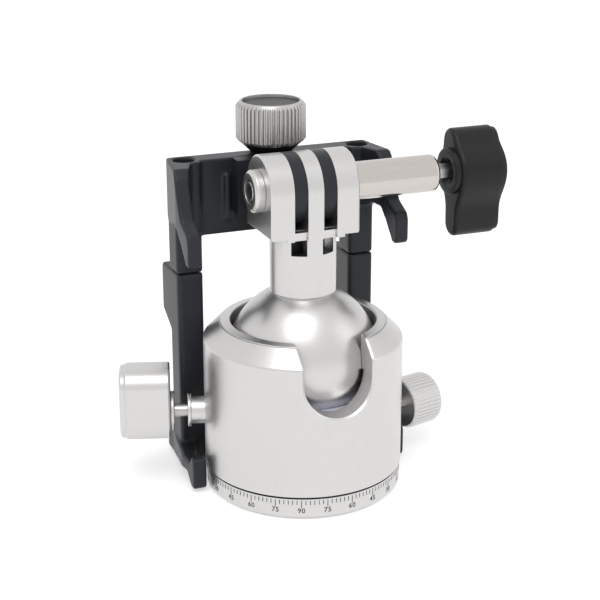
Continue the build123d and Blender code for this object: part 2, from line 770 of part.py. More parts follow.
with BuildPart() as rod_screws:
    with BuildSketch(Plane.XY.offset(rod_top)):
        with Locations((-column_x, column_y), (column_x, column_y)):
            Circle(screw_head_r)
            RegularPolygon(1.0, 6, major_radius=False, mode=Mode.SUBTRACT)
    extrude(amount=screw_head_thick)
    with BuildSketch(Plane.XY.offset(rod_top)):
        with Locations((-column_x, column_y), (column_x, column_y)):
            Circle(screw_head_r)
    extrude(amount=0.5)
rod_screws.part.label = "rod_screws"
export_step(rod_screws.part, "parts/rod_screws.step")

# ================================================================ phone clamp: lower frame
guide_low = seam_z - rod_guide
arm_profile = (
    (column_back, foot_z),
    (hook_tip_front + hook_tip_thick + 2.2, foot_z + arm_rise),
    (hook_tip_front + hook_tip_thick + 0.4, foot_z + 0.7),
    (hook_tip_front + hook_tip_thick - 0.5, foot_z),
    (hook_tip_front + 0.5, foot_z),
    (hook_tip_front, foot_z + 0.6),
    (hook_tip_front, finger_top - 0.5),
    (hook_tip_front + 0.5, finger_top),
    (hook_tip_front + hook_tip_thick - 0.8, finger_top),
    (hook_tip_front + hook_tip_thick + 0.6, arm_top),
    (column_back, arm_top),
)
with BuildPart() as arms:
    with BuildSketch(pin_plane(-hook_out)):
        with BuildLine():
            Polyline(*[(y, z - pin_z) for y, z in arm_profile], close=True)
        make_face()
    extrude(amount=2 * hook_out)
    with BuildSketch(Plane.XY.offset(foot_z)):
        for side in (-1, 1):
            with BuildLine():
                Polyline(*plate_plan(side), close=True)
            make_face()
    extrude(amount=finger_top - foot_z, mode=Mode.INTERSECT)

with BuildPart() as lower_frame:
    with BuildSketch(Plane.XY.offset(foot_z)):
        with Locations((-column_x, column_y), (column_x, column_y)):
            RectangleRounded(column_wide, column_back - column_front, column_round)
    extrude(amount=seam_z - face_gap - foot_z)
    add(arms.part)
    # cross member behind the housing, with a cheek to each post
    with BuildSketch(Plane.XY.offset(foot_z)):
        with Locations((0, (cross_front + cross_back) / 2)):
            Rectangle(2 * column_out, cross_thick)
        with Locations((-column_x, (column_y + cross_back) / 2), (column_x, (column_y + cross_back) / 2)):
            Rectangle(column_wide, cross_back - column_y)
    extrude(amount=cross_top - foot_z)
    # rear lugs on the posts, chamfered below
    for lug_start in (-column_out, column_out - column_wide):
        with BuildSketch(pin_plane(lug_start)):
            with BuildLine():
                Polyline(
                    (column_back - 1, seam_z - face_gap - pin_z),
                    (lug_back - 0.8, seam_z - face_gap - pin_z),
                    (lug_back, seam_z - face_gap - 0.8 - pin_z),
                    (lug_back, lug_low + 2.4 - pin_z),
                    (column_back, lug_low - 0.6 - pin_z),
                    (column_back - 1, lug_low - 0.6 - pin_z),
                    close=True,
                )
            make_face()
        extrude(amount=column_wide)
    for side in (-1, 1):
        with BuildSketch(Plane.XY.offset(foot_z + 2)):
            with Locations((side * column_x, column_y)):
                Circle(rod_bore_r)
        extrude(amount=guide_low - foot_z - 2, mode=Mode.SUBTRACT)
        with BuildSketch(Plane.XY.offset(guide_low)):
            with Locations((side * column_x, column_y)):
                Circle(rod_r + run_gap)
        extrude(amount=rod_guide, mode=Mode.SUBTRACT)
lower_frame.part.label = "lower_frame"
export_step(lower_frame.part, "parts/lower_frame.step")

# Closing springs, from the rod feet up to the guides.
spring_low = rod_foot_z + rod_foot_thick
spring_length = guide_low - spring_low - 2 * spring_wire_r - 0.1
coil_r = (rod_r + rod_bore_r) / 2
with BuildPart() as jaw_springs:
    for side in (-1, 1):
        coil_centre = (side * column_x, column_y, spring_low + spring_wire_r + 0.05)
        with BuildLine(mode=Mode.PRIVATE) as coil:
            Helix(spring_length / spring_turns, spring_length, coil_r, center=coil_centre)
        coil_plane = Plane(origin=coil.line @ 0, z_dir=coil.line % 0)
        with BuildSketch(coil_plane):
            RegularPolygon(spring_wire_r, 6)
        sweep(path=coil.line, is_frenet=True)
jaw_springs.part.label = "jaw_springs"
export_step(jaw_springs.part, "parts/jaw_springs.step")

# ================================================================ knurled knob on the clamp
knob_low_z = pin_z + clamp_knob_low
knob_top_z = pin_z + clamp_knob_top
with BuildPart() as clamp_knob:
    with BuildSketch(Plane.XY.offset(knob_low_z)):
        with Locations((0, clamp_knob_y)):
            Circle(clamp_knob_r - knurl_depth)
    extrude(amount=knob_top_z - knob_low_z)
    chamfer(clamp_knob.faces().filter_by(Axis.Z).edges(), 0.7)
    with BuildSketch(Plane.XY.offset(knob_low_z + 0.9)):
        with Locations((0, clamp_knob_y)):
            with PolarLocations(clamp_knob_r - knurl_depth, knurl_ridges):
                Rectangle(2 * knurl_depth, 0.5)
    extrude(amount=knob_top_z - knob_low_z - 1.8)
    with BuildSketch(Plane.XY.offset(knob_top_z)):
        with Locations((0, clamp_knob_y)):
            Circle(cap_r)
    extrude(amount=-cap_depth - 0.6, mode=Mode.SUBTRACT)
    with BuildSketch(Plane.XY.offset(knob_low_z)):
        with Locations((0, clamp_knob_y)):
            Circle(clamp_screw_r)
    extrude(amount=clamp_screw_grip, mode=Mode.SUBTRACT)
clamp_knob.part.label = "clamp_knob"
export_step(clamp_knob.part, "parts/clamp_knob.step")

with BuildPart() as knob_cap:
    with BuildSketch(Plane.XY.offset(knob_top_z - cap_depth - 0.6)):
        with Locations((0, clamp_knob_y)):
            Circle(cap_r)
    extrude(amount=cap_depth)
    fillet(knob_cap.faces().sort_by(Axis.Z)[-1].edges(), 0.3)
knob_cap.part.label = "knob_cap"
export_step(knob_cap.part, "parts/knob_cap.step")

with BuildPart() as knob_flange:
    with BuildSketch(Plane.XY.offset(jaw_top_z + face_gap)):
        with Locations((0, clamp_knob_y)):
            Circle(clamp_flange_r)
    with BuildSketch(Plane.XY.offset(knob_low_z)):
        with Locations((0, clamp_knob_y)):
            Circle(clamp_knob_r - knurl_depth - 0.7)
    loft()
    with BuildSketch(Plane.XY.offset(jaw_top_z)):
        with Locations((0, clamp_knob_y)):
            Circle(clamp_screw_r)
    extrude(amount=clamp_knob_low, mode=Mode.SUBTRACT)
knob_flange.part.label = "knob_flange"
export_step(knob_flange.part, "parts/knob_flange.step")

with BuildPart() as clamp_screw:
    with BuildSketch(Plane.XY.offset(jaw_top_z - clamp_screw_length + 0.5)):
        with Locations((0, clamp_knob_y)):
            Circle(clamp_screw_r)
    extrude(amount=knob_low_z + clamp_screw_grip - jaw_top_z + clamp_screw_length - 0.5)
clamp_screw.part.label = "clamp_screw"
export_step(clamp_screw.part, "parts/clamp_screw.step")
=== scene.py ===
# %% [markdown]
# # A tripod ball head with a phone clamp
# The engineering model comes first and fixes every size. This lesson dresses it. Turned pieces are remade
# with finer curves, milled and moulded pieces get the small rounded edges that catch the light, and what
# repeats, such as ticks and knurls, is made by Geometry Nodes.

# %% Load the frame
import json
from math import acos, cos, hypot, pi, radians, sin, sqrt, tan

import bmesh
import bpy
from mathutils import Matrix, Vector


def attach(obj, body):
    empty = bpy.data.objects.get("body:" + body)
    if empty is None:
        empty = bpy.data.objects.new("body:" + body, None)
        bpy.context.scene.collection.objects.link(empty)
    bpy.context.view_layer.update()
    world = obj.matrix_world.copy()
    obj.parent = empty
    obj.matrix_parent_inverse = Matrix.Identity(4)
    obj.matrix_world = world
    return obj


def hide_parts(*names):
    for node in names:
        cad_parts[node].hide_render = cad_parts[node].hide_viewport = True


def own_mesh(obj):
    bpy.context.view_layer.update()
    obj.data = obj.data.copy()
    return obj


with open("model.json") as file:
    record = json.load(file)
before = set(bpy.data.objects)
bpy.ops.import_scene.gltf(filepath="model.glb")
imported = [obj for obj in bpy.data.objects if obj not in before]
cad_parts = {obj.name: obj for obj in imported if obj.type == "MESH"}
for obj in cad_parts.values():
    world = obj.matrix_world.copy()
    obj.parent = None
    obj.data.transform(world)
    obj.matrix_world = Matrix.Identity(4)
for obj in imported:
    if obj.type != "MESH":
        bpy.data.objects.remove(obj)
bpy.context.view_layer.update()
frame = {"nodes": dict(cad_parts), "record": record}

scene = bpy.context.scene
print("nodes:", len(frame["nodes"]))

# %% [markdown]
# Sizes here are in millimetres, as a machinist would read them, and every mesh is scaled to metres when
# it is made. The lock screws and the pin lie across the head, so a piece could be modelled upright and
# turned afterwards. It is simpler to give each of them a plane of its own: a piece is drawn flat in that
# plane, and its points land in their final place at once.

# %% Planes
MM = 0.001


def plane_at(origin, x_dir, z_dir):
    """A matrix that carries local x, y and z to a plane's own directions."""
    z = Vector(z_dir).normalized()
    x = Vector(x_dir).normalized()
    y = z.cross(x)
    turn = Matrix((x, y, z)).transposed().to_4x4()
    return Matrix.Translation(Vector(origin)) @ turn


UPRIGHT = Matrix.Identity(4)
FRONT = plane_at((0, 0, 0), (1, 0, 0), (0, -1, 0))
print("the front plane faces", [round(v) for v in FRONT.to_3x3().col[2]])

# %% [markdown]
# A turned or milled piece starts as a list of corners, and each corner may carry a radius. A Bevel
# modifier could round them later, but it treats every edge alike. Working the arcs out here gives each
# corner its own radius, as a drawing does.

# %% Outlines


def eased(corners, arc=5):
    """Round an outline's corners. Each corner is (x, y) or (x, y, radius)."""
    out = []
    count = len(corners)
    for k in range(count):
        here = Vector(corners[k][:2])
        radius = corners[k][2] if len(corners[k]) > 2 else 0
        if radius <= 0:
            out.append(tuple(here))
            continue
        before = (Vector(corners[k - 1][:2]) - here).normalized()
        after = (Vector(corners[(k + 1) % count][:2]) - here).normalized()
        half = acos(max(-1, min(1, before.dot(after)))) / 2
        centre = here + (before + after).normalized() * (radius / sin(half))
        start = here + before * (radius / tan(half)) - centre
        end = here + after * (radius / tan(half)) - centre
        sweep = (pi - 2 * half) * (1 if start.cross(end) > 0 else -1)
        for step in range(arc + 1):
            out.append(tuple(centre + Matrix.Rotation(sweep * step / arc, 2) @ start))
    return out


def circle(radius, sides=64, first=0.0):
    """Points round a circle, or a hexagon when it has six sides. First is in degrees."""
    angles = [radians(first) + 2 * pi * i / sides for i in range(sides)]
    return [(radius * cos(angle), radius * sin(angle)) for angle in angles]


def box_outline(low, high):
    """The four corners of a rectangle."""
    return [(low[0], low[1]), (high[0], low[1]), (high[0], high[1]), (low[0], high[1])]


print("a square with one eased corner has", len(eased([(0, 0), (9, 0), (9, 9, 2), (0, 9)])), "points")

# %% [markdown]
# Three ways of making a solid cover everything that is remade here. A lathe turns a half outline about an
# axis. A tube joins rings of equal length, and a prism is its simplest case. Blender's own cylinder and
# Screw modifier could do some of this, but plain points and faces keep every size in sight.

# %% Pieces from points


def add_object(name, data):
    """Put a mesh, text, lamp or camera into the scene."""
    item = bpy.data.objects.new(name, data)
    scene.collection.objects.link(item)
    return item


def make_piece(name, points, faces, place=UPRIGHT):
    """A mesh object from points in millimetres, welded and with its faces outwards."""
    mesh = bpy.data.meshes.new(name)
    mesh.from_pydata([tuple((place @ Vector(p)) * MM) for p in points], [], faces)
    shell = bmesh.new()
    shell.from_mesh(mesh)
    bmesh.ops.remove_doubles(shell, verts=shell.verts, dist=1e-7)
    bmesh.ops.recalc_face_normals(shell, faces=shell.faces)
    shell.to_mesh(mesh)
    shell.free()
    return add_object(name, mesh)


print("points in millimetres are scaled by", MM)

# %% Tubes, prisms and lathes
ROUND = 160  # sides of a large turned piece
FINE_ROUND = 192  # sides of the housing and its rings, which show the longest curves
SMALL_ROUND = 64


def band(low, high, size):
    """The quads between two rings of points, given the index at which each ring starts."""
    return [(low + i, low + (i + 1) % size, high + (i + 1) % size, high + i) for i in range(size)]


def tube(name, rings, place=UPRIGHT):
    """Join rings of equal length and close both ends."""
    size = len(rings[0])
    last = (len(rings) - 1) * size
    faces = []
    for start in range(0, last, size):
        faces += band(start, start + size, size)
    faces += [tuple(range(size)), tuple(range(last, last + size))]
    return make_piece(name, [p for ring in rings for p in ring], faces, place)


def prism(name, outline, low, high, place=UPRIGHT):
    """An outline pulled straight along local z."""
    return tube(name, [[(x, y, z) for x, y in outline] for z in (low, high)], place)


def lathe(name, outline, place=UPRIGHT, sides=ROUND):
    """Turn a closed outline of (radius, height) points about local z."""
    points, faces = [], []
    for k, (r, z) in enumerate(outline):
        points += [(x, y, z) for x, y in circle(r, sides)]
        faces += band(k * sides, (k + 1) % len(outline) * sides, sides)
    return make_piece(name, points, faces, place)


print("a lathe draws", ROUND, "sides unless it is told otherwise")

# %% [markdown]
# A cut takes one shape out of another with the Boolean modifier's exact solver, which keeps crisp edges.
# A modifier could stay live, but the pieces have to be plain meshes in the end. Applying each one as soon
# as it is set also keeps the order of the steps plain to see.

# %% Applying modifiers


def plain_mesh(item):
    """What an object looks like after its modifiers, as a mesh of its own."""
    graph = bpy.context.evaluated_depsgraph_get()
    graph.update()
    return bpy.data.meshes.new_from_object(item.evaluated_get(graph), depsgraph=graph)


def settle(piece):
    """Apply every modifier: the evaluated mesh replaces the piece's own."""
    mesh = plain_mesh(piece)
    old = piece.data
    piece.modifiers.clear()
    piece.data = mesh
    if old.users == 0:
        bpy.data.meshes.remove(old)
    mesh.name = piece.name
    return piece


print("modifiers are applied as soon as they are set")

# %% Cuts and joins


def cut(piece, *tools):
    """Take the tools out of a piece, and throw the tools away."""
    for tool in tools:
        step = piece.modifiers.new("cut", "BOOLEAN")
        step.operation = "DIFFERENCE"
        step.solver = "EXACT"
        step.object = tool
        settle(piece)
        bpy.data.objects.remove(tool)
    return piece


def join(name, pieces):
    """One mesh from several, in place."""
    shell = bmesh.new()
    for piece in pieces:
        shell.from_mesh(piece.data)
    mesh = bpy.data.meshes.new(name)
    shell.to_mesh(mesh)
    shell.free()
    for piece in pieces:
        bpy.data.objects.remove(piece)
    return add_object(name, mesh)


drilled = cut(prism("block", circle(5.0), 0, 4), prism("drill", circle(2.0), -1, 5))
print("a drilled block has", len(drilled.data.polygons), "faces")
bpy.data.objects.remove(drilled)

# %% [markdown]
# Real edges are never razor sharp: a deburred corner of a tenth of a millimetre already draws a bright
# line along the metal. The Bevel modifier rounds each edge sharper than a set angle. A Weighted Normal
# modifier then keeps the broad faces flat and lets only the new narrow ones turn the light. Smooth
# shading alone would be quicker, but it makes flat faces look swollen.

# %% Rounded edges
CREASE = 40  # degrees
WEIGHT = 80  # how much a broad face decides the shading at its corners


def soften(piece, width=0.0, rows=2, sharp=30):
    """Round the hard edges, then shade smooth with flat faces kept flat."""
    if width > 0:
        edge = piece.modifiers.new("edges", "BEVEL")
        edge.width = width * MM
        edge.segments = rows
        edge.limit_method = "ANGLE"
        edge.angle_limit = radians(sharp)
        settle(piece)
    piece.data.shade_smooth()
    piece.data.set_sharp_from_angle(angle=radians(CREASE))
    weigh = piece.modifiers.new("normals", "WEIGHTED_NORMAL")
    weigh.keep_sharp = True
    weigh.weight = WEIGHT
    return settle(piece)


print("edges sharper than", CREASE, "degrees stay crisp")

# %% Copies of engineering nodes
FLAT = 0.4  # degrees


def copied(node, name):
    """A welded copy of an engineering node, with each flat face made one face again."""
    shell = bmesh.new()
    shell.from_mesh(frame["nodes"][node].data)
    bmesh.ops.remove_doubles(shell, verts=shell.verts, dist=2e-6)
    bmesh.ops.dissolve_degenerate(shell, edges=shell.edges, dist=1e-5)
    bmesh.ops.dissolve_limit(shell, angle_limit=radians(FLAT), verts=shell.verts, edges=shell.edges)
    bmesh.ops.recalc_face_normals(shell, faces=shell.faces)
    mesh = bpy.data.meshes.new(name)
    shell.to_mesh(mesh)
    shell.free()
    if "custom_normal" in mesh.attributes:
        mesh.attributes.remove(mesh.attributes["custom_normal"])
    return add_object(name, mesh)


print("triangles that bend less than", FLAT, "degrees become one face")

# %% [markdown]
# Metals look like metal through small things: a blasted grain that scatters the light, roughness that
# varies a little from place to place, and turning marks on polished bars. A painted texture could show
# them, but it would need unwrapping. Each finish below is one Principled shader with noise on Object
# coordinates instead, so the pattern stays put when a joint moves.

# %% Noise


def noise_on(nodes, links, place, scale, detail):
    """A noise texture on a set of coordinates."""
    noise = nodes.new("ShaderNodeTexNoise")
    noise.inputs["Scale"].default_value = scale
    noise.inputs["Detail"].default_value = detail
    links.new(place, noise.inputs["Vector"])
    return noise.outputs["Fac"]


print("noise helper ready")

# %% One finish
SHEEN = 0.3  # how strongly the matt plastics and painted castings shine
METAL_SHEEN = 0.5
PATCHES = 90  # scale of the broad patches of more or less polish


def finish_of(name, colour, metallic, rough, grain, depth, vary, shade, marks=None):
    """One finish. Marks stretch the grain along an axis, as turning marks are stretched."""
    material = bpy.data.materials.new(name)
    material.use_nodes = True
    nodes, links = material.node_tree.nodes, material.node_tree.links
    shader = nodes["Principled BSDF"]
    shader.inputs["Metallic"].default_value = metallic
    shader.inputs["Specular IOR Level"].default_value = METAL_SHEEN if metallic else SHEEN
    place = nodes.new("ShaderNodeTexCoord").outputs["Object"]
    fine_place = place
    if marks:
        stretch = nodes.new("ShaderNodeMapping")
        stretch.inputs["Scale"].default_value = marks
        links.new(place, stretch.inputs["Vector"])
        fine_place = stretch.outputs["Vector"]
    fine = noise_on(nodes, links, fine_place, 1 / (grain * MM), 2)
    broad = noise_on(nodes, links, place, PATCHES, 3)
    bump = nodes.new("ShaderNodeBump")
    bump.inputs["Strength"].default_value = 1
    bump.inputs["Distance"].default_value = depth * MM
    links.new(fine, bump.inputs["Height"])
    links.new(bump.outputs["Normal"], shader.inputs["Normal"])
    spread = nodes.new("ShaderNodeMapRange")
    spread.inputs["To Min"].default_value = rough - vary
    spread.inputs["To Max"].default_value = rough + vary
    links.new(broad, spread.inputs["Value"])
    links.new(spread.outputs["Result"], shader.inputs["Roughness"])
    tint = nodes.new("ShaderNodeMix")
    tint.data_type = "RGBA"
    tint.inputs["A"].default_value = (*[c * (1 - shade) for c in colour], 1)
    tint.inputs["B"].default_value = (*[min(1, c * (1 + shade)) for c in colour], 1)
    links.new(fine, tint.inputs["Factor"])
    links.new(tint.outputs["Result"], shader.inputs["Base Color"])
    return material


print("each finish mixes a fine grain with patches", round(1 / PATCHES / MM), "mm across")

# %% Finishes
FINISH_VALUES = {
    # colour, metallic, roughness, grain in mm, its depth in mm, spread of roughness and of colour
    "satin_alloy": ((0.620, 0.612, 0.606), 1.0, 0.33, 0.22, 0.014, 0.03, 0.10),
    "knurled_alloy": ((0.50, 0.49, 0.48), 1.0, 0.36, 0.45, 0.06, 0.05, 0.14),
    "bright_sleeve": ((0.56, 0.53, 0.50), 1.0, 0.17, 0.35, 0.004, 0.04, 0.05, (0.15, 1, 1)),
    "dark_alloy": ((0.020, 0.0225, 0.028), 0.0, 0.38, 0.2, 0.006, 0.05, 0.15),
    "black_plastic": ((0.009, 0.009, 0.0105), 0.0, 0.38, 0.12, 0.008, 0.05, 0.2),
    "white_plastic": ((0.66, 0.67, 0.80), 0.0, 0.35, 0.5, 0.002, 0.03, 0.02),
    "steel": ((0.48, 0.47, 0.46), 1.0, 0.28, 0.3, 0.003, 0.04, 0.06),
    "brass": ((0.70, 0.52, 0.24), 1.0, 0.3, 0.3, 0.003, 0.04, 0.06),
    "dial_ink": ((0.035, 0.034, 0.033), 0.0, 0.55, 0.1, 0.002, 0.05, 0.1),
}
FINISH = {name: finish_of(name, *values) for name, values in FINISH_VALUES.items()}
print("finishes:", ", ".join(FINISH))

# %% [markdown]
# Every engineering node gets the finish that its record names, whether or not a finer piece stands for it
# later. A remade piece takes the same finish through one helper, which also says what it rides on. The
# shade deep in a pocket or a socket is painted: its faces get the dark finish as a second material on the
# same mesh, because a separate liner would need a gap round it.

# %% Dressing a piece
SLOT_OF = {row["node"]: row["material_slot"] for row in frame["record"]["subparts"]}
BODY_OF = {n: b for b, members in frame["record"]["behaviour"]["bodies"].items() for n in members}
for node_name, node in frame["nodes"].items():
    node.data.materials.clear()
    node.data.materials.append(FINISH[SLOT_OF[node_name]])


def line_pocket(piece, low, high, place=UPRIGHT):
    """Paint shade into a recess: the faces that lie wholly inside a box, in millimetres, get the dark
    finish.
    """
    # painted shade: faces deep in a recess get the dark finish, where they would lie in shadow
    piece.data.materials.append(FINISH["dark_alloy"])
    back = place.inverted()
    for face in piece.data.polygons:
        corners = [back @ (piece.data.vertices[v].co / MM) for v in face.vertices]
        if all(low[k] <= p[k] <= high[k] for p in corners for k in range(3)):
            face.material_index = len(piece.data.materials) - 1
    return piece


def dress(piece, finish, body, *replaced):
    """Give a piece its finish, say what it rides on, and hide the nodes that it stands for."""
    piece.data.materials.clear()
    piece.data.materials.append(FINISH[finish])
    for face in piece.data.polygons:
        face.material_index = 0
    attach(piece, body)
    if replaced:
        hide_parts(*replaced)
    print(piece.name, len(piece.data.polygons), "faces on", body)
    return piece


print("finishes in use on the nodes:", ", ".join(sorted(set(SLOT_OF.values()))))

# %% [markdown]
# Most milled and moulded pieces already have the right shape. Each gets a welded copy with rounded edges,
# as wide as the real process leaves them: a tumbled alloy casting has broader edges than a turned collar.
# Copying the node keeps the fit with its neighbours, which modelling it a second time would risk.

# %% Pieces with rounded edges
EDGES = {  # how wide each piece's edges are rounded, in mm
    "prong_adapter": 0.2,
    "pin_nut": 0.15,
    "main_knob": 0.3,
    "main_collar": 0.12,
    "main_bush": 0.15,
    "pan_bush": 0.12,
    "knob_flange": 0.15,
    "knob_cap": 0.0,
    "rod_screws": 0.12,
    "ball_cup": 0.1,
    "base_plate": 0.15,
}
for node_name, width in EDGES.items():
    piece = soften(copied(node_name, node_name + "_eased"), width)
    dress(piece, SLOT_OF[node_name], BODY_OF[node_name], node_name)

# %% [markdown]
# The phone clamp's two frames are die castings, and a casting has no sharp edge at all: metal flows badly
# into a tight corner. A Bevel would round the outer edges but not fill the inner ones. A fine voxel
# remesh followed by smoothing does both, by about half a millimetre, and leaves the broad faces flat. A
# Decimate modifier then merges most of the small faces again.

# %% Cast pieces
VOXEL = 0.27
RELAX_PASSES = 12
KEPT_FACES = 0.3


def cast(piece):
    """Round a solid the way a casting is round, then merge its flat faces again."""
    grid = piece.modifiers.new("grid", "REMESH")
    grid.mode = "VOXEL"
    grid.voxel_size = VOXEL * MM
    settle(piece)
    relax = piece.modifiers.new("relax", "SMOOTH")
    relax.factor = 0.5
    relax.iterations = RELAX_PASSES
    settle(piece)
    thin = piece.modifiers.new("thin", "DECIMATE")
    thin.decimate_type = "COLLAPSE"
    thin.ratio = KEPT_FACES
    settle(piece)
    piece.data.shade_smooth()
    return piece


for node_name in ("upper_jaw", "lower_frame"):
    dress(cast(copied(node_name, node_name + "_cast")), SLOT_OF[node_name], BODY_OF[node_name], node_name)

# %% [markdown]
# Two coil springs on the guide rods pull the jaws together. When the jaws open, the rods' feet and the
# guides close in on the coils, so each spring shortens towards its foot. Here the springs are a steel copy
# of their node with smooth shading, which rides on the upper jaw and has a mesh of its own.

# %% Closing springs
springs = copied("jaw_springs", "closing_springs")
dress(soften(springs), "steel", "upper_jaw", "jaw_springs")
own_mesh(springs)

# %% [markdown]
# The housing is one turned shell with a broad top bevel and a drop notch, where the ball's neck can lie
# down. The notch could be made by moving points in the wall, which would spoil the turned curves. So a
# lathe makes the whole shell first, and a slot-shaped prism then cuts the notch out of the front. Its
# bright lip is a second cut: a thin wedge that follows the wall's own outside, so that the lip keeps one
# width round the slot, up the bevel too.

# %% The notch
BODY_R = 21.0
RIM_Z = 36.7
NOTCH_R = 7.4
NOTCH_AXIS = 29.6  # height of the round bottom's centre
NOTCH_LEVELS = (RIM_Z + 1.0, RIM_Z, 35.5, 34.3, 33.6, 33.2, 32.6, 31.0)


def slot_points(arc=40):
    """The notch's outline from the left top, round the bottom, to the right top, with outward normals."""
    path = [(-NOTCH_R, z, -1.0, 0.0) for z in NOTCH_LEVELS]
    for step in range(arc + 1):
        angle = pi + pi * step / arc
        path.append((NOTCH_R * cos(angle), NOTCH_AXIS + NOTCH_R * sin(angle), cos(angle), sin(angle)))
    path += [(NOTCH_R, z, 1.0, 0.0) for z in reversed(NOTCH_LEVELS)]
    return path


def notch_prism(name):
    """The block that cuts the notch, from the axis out through the wall."""
    return prism(name, [(x, z) for x, z, _, _ in slot_points()], 0.0, BODY_R + 1, FRONT)


print("the notch is", 2 * NOTCH_R, "mm wide and reaches down to", round(NOTCH_AXIS - NOTCH_R, 1), "mm")

# %% The notch's lip
SHOULDER_Z = 33.1  # where the top bevel begins
RIM_R = 17.4
LIP = 0.42


def wall_r(z):
    """The housing's outside radius at a height."""
    slope = (BODY_R - RIM_R) / (RIM_Z - SHOULDER_Z)
    return BODY_R if z < SHOULDER_Z else BODY_R - (z - SHOULDER_Z) * slope


def lip_wedge(name, width, spare=0.12):
    """A wedge that chamfers the notch's outer edge by the same width all round."""
    rings = []
    for x, z, nx, nz in slot_points():
        ring = []
        for out, deep in ((width + spare, -spare), (-spare, width + spare), (-spare, -spare)):
            px, pz = x + nx * out, z + nz * out
            reach = wall_r(pz) - deep
            ring.append((px, -sqrt(reach * reach - px * px), pz))
        rings.append(ring)
    return tube(name, rings)


print("the lip is", LIP, "mm wide")

# %% Planes of the lock screws
MAIN_ANGLE = 107.7  # degrees round from the notch to the main lock, on the left
MAIN_Z = 16.5
PAN_ANGLE = 104.5  # degrees round from the notch to the pan lock, on the right
PAN_Z = 10.4


def lock_plane(angle, side, height):
    """The plane square to a lock screw. Local z runs outwards along the screw."""
    out = Vector((side * sin(radians(angle)), -cos(radians(angle)), 0))
    return plane_at((0, 0, height), Vector((0, 0, 1)).cross(out), out)


MAIN = lock_plane(MAIN_ANGLE, -1, MAIN_Z)
PAN = lock_plane(PAN_ANGLE, 1, PAN_Z)
print("the main lock points along", [round(v, 2) for v in MAIN.to_3x3().col[2]])

# %% Housing
FOOT_Z = 5.3  # the housing's underside, just above the degree ring
SEAT_Z = 29.4  # where the top ring sits
CAVITY_R = 16.6
CAVITY_Z = 13.2
SPINDLE_R = 8.06
CLIP_R = 9.6
CLIP_Z = 11.9
housing_outline = eased([
    (SPINDLE_R, FOOT_Z),
    (BODY_R, FOOT_Z, 0.08),
    (BODY_R, SHOULDER_Z, 0.9),
    (RIM_R, RIM_Z, 0.15),
    (RIM_R, SEAT_Z),
    (CAVITY_R, SEAT_Z),
    (CAVITY_R, CAVITY_Z),
    (CLIP_R, CAVITY_Z),
    (CLIP_R, CLIP_Z),
    (SPINDLE_R, CLIP_Z),
])
BORES = (  # name, radius, where it starts and ends along the screw, the screw's plane
    ("main_bore", 2.9, 10, BODY_R + 1, MAIN),
    ("pan_bore", 2.4, 10.7, BODY_R + 1, PAN),
    ("shoe_bore", 1.56, 7, 11, PAN),
)
housing_shell = lathe("housing_shell", housing_outline, sides=FINE_ROUND)
cut(housing_shell, notch_prism("notch_tool"), lip_wedge("lip_tool", LIP))
for name, radius, start, end, plane in BORES:
    cut(housing_shell, prism(name, circle(radius), start, end, plane))
dress(soften(housing_shell), "satin_alloy", "housing", "housing")

# %% [markdown]
# The flat ring that holds the ball down is threaded into the housing and is open at the notch too. Its
# inside lip follows the ball, so a plain cylinder with a hole would leave a gap there. It is turned from
# its own outline, whose inside is an arc about the ball's centre, and it gets the same slot.

# %% Top ring
BALL_R = 15.9
BALL_Z = 28.6
MOUTH_R = 15.3  # the opening above the ball
LIP_RISE = 0.2
SEAT_STEPS = 8
seat_r = BALL_R + 0.06
mouth_z = BALL_Z + sqrt(seat_r**2 - MOUTH_R**2)
seat_low_r = sqrt(seat_r**2 - (SEAT_Z - BALL_Z) ** 2)
ring_outline = eased([
    (seat_low_r, SEAT_Z),
    (RIM_R, SEAT_Z),
    (RIM_R, RIM_Z, 0.1),
    (MOUTH_R, RIM_Z + LIP_RISE, 0.3),
    (MOUTH_R, mouth_z),
])
for step in range(1, SEAT_STEPS):
    z = mouth_z + (SEAT_Z - mouth_z) * step / SEAT_STEPS
    ring_outline.append((sqrt(seat_r**2 - (z - BALL_Z) ** 2), z))
ball_ring = lathe("ball_ring", ring_outline, sides=FINE_ROUND)
cut(ball_ring, notch_prism("ring_notch_tool"))
dress(soften(ball_ring, 0.12, sharp=50), "satin_alloy", "housing", "top_ring")

# %% [markdown]
# The ball and its neck are one turned piece. A sphere joined to a cylinder would need its seam cleaned,
# and one lathe outline has no seam. The neck ends on the ball in a small chamfer, which shows as a bright
# line. Two short pockets in the neck carry on the gaps between the fins, so that the prongs of an
# accessory have room at their tips.

# %% Pockets between the fins
NECK_TOP = 56.4
GAP_X = 3.15  # middle of each gap between the fins
POCKET_Z = 52.3
POCKET_HALF = 1.45
POCKET_BACK = -2.6
POCKET_FRONT = -8.0


def line_gaps(piece, half, front, back, low, high):
    """Paint shade onto the faces that lie inside a box round each of the two pockets."""
    for middle in (-GAP_X, GAP_X):
        line_pocket(piece, (middle - half, front, low), (middle + half, back, high))


def pocket_tool(side, top):
    """The block that cuts one pocket. Side is -1 for the left one and 1 for the right one."""
    middle = side * GAP_X
    outline = box_outline((middle - POCKET_HALF, POCKET_FRONT), (middle + POCKET_HALF, POCKET_BACK))
    return prism("pocket_tool", outline, POCKET_Z, top)


print("each pocket is", round(NECK_TOP - POCKET_Z, 1), "mm deep")

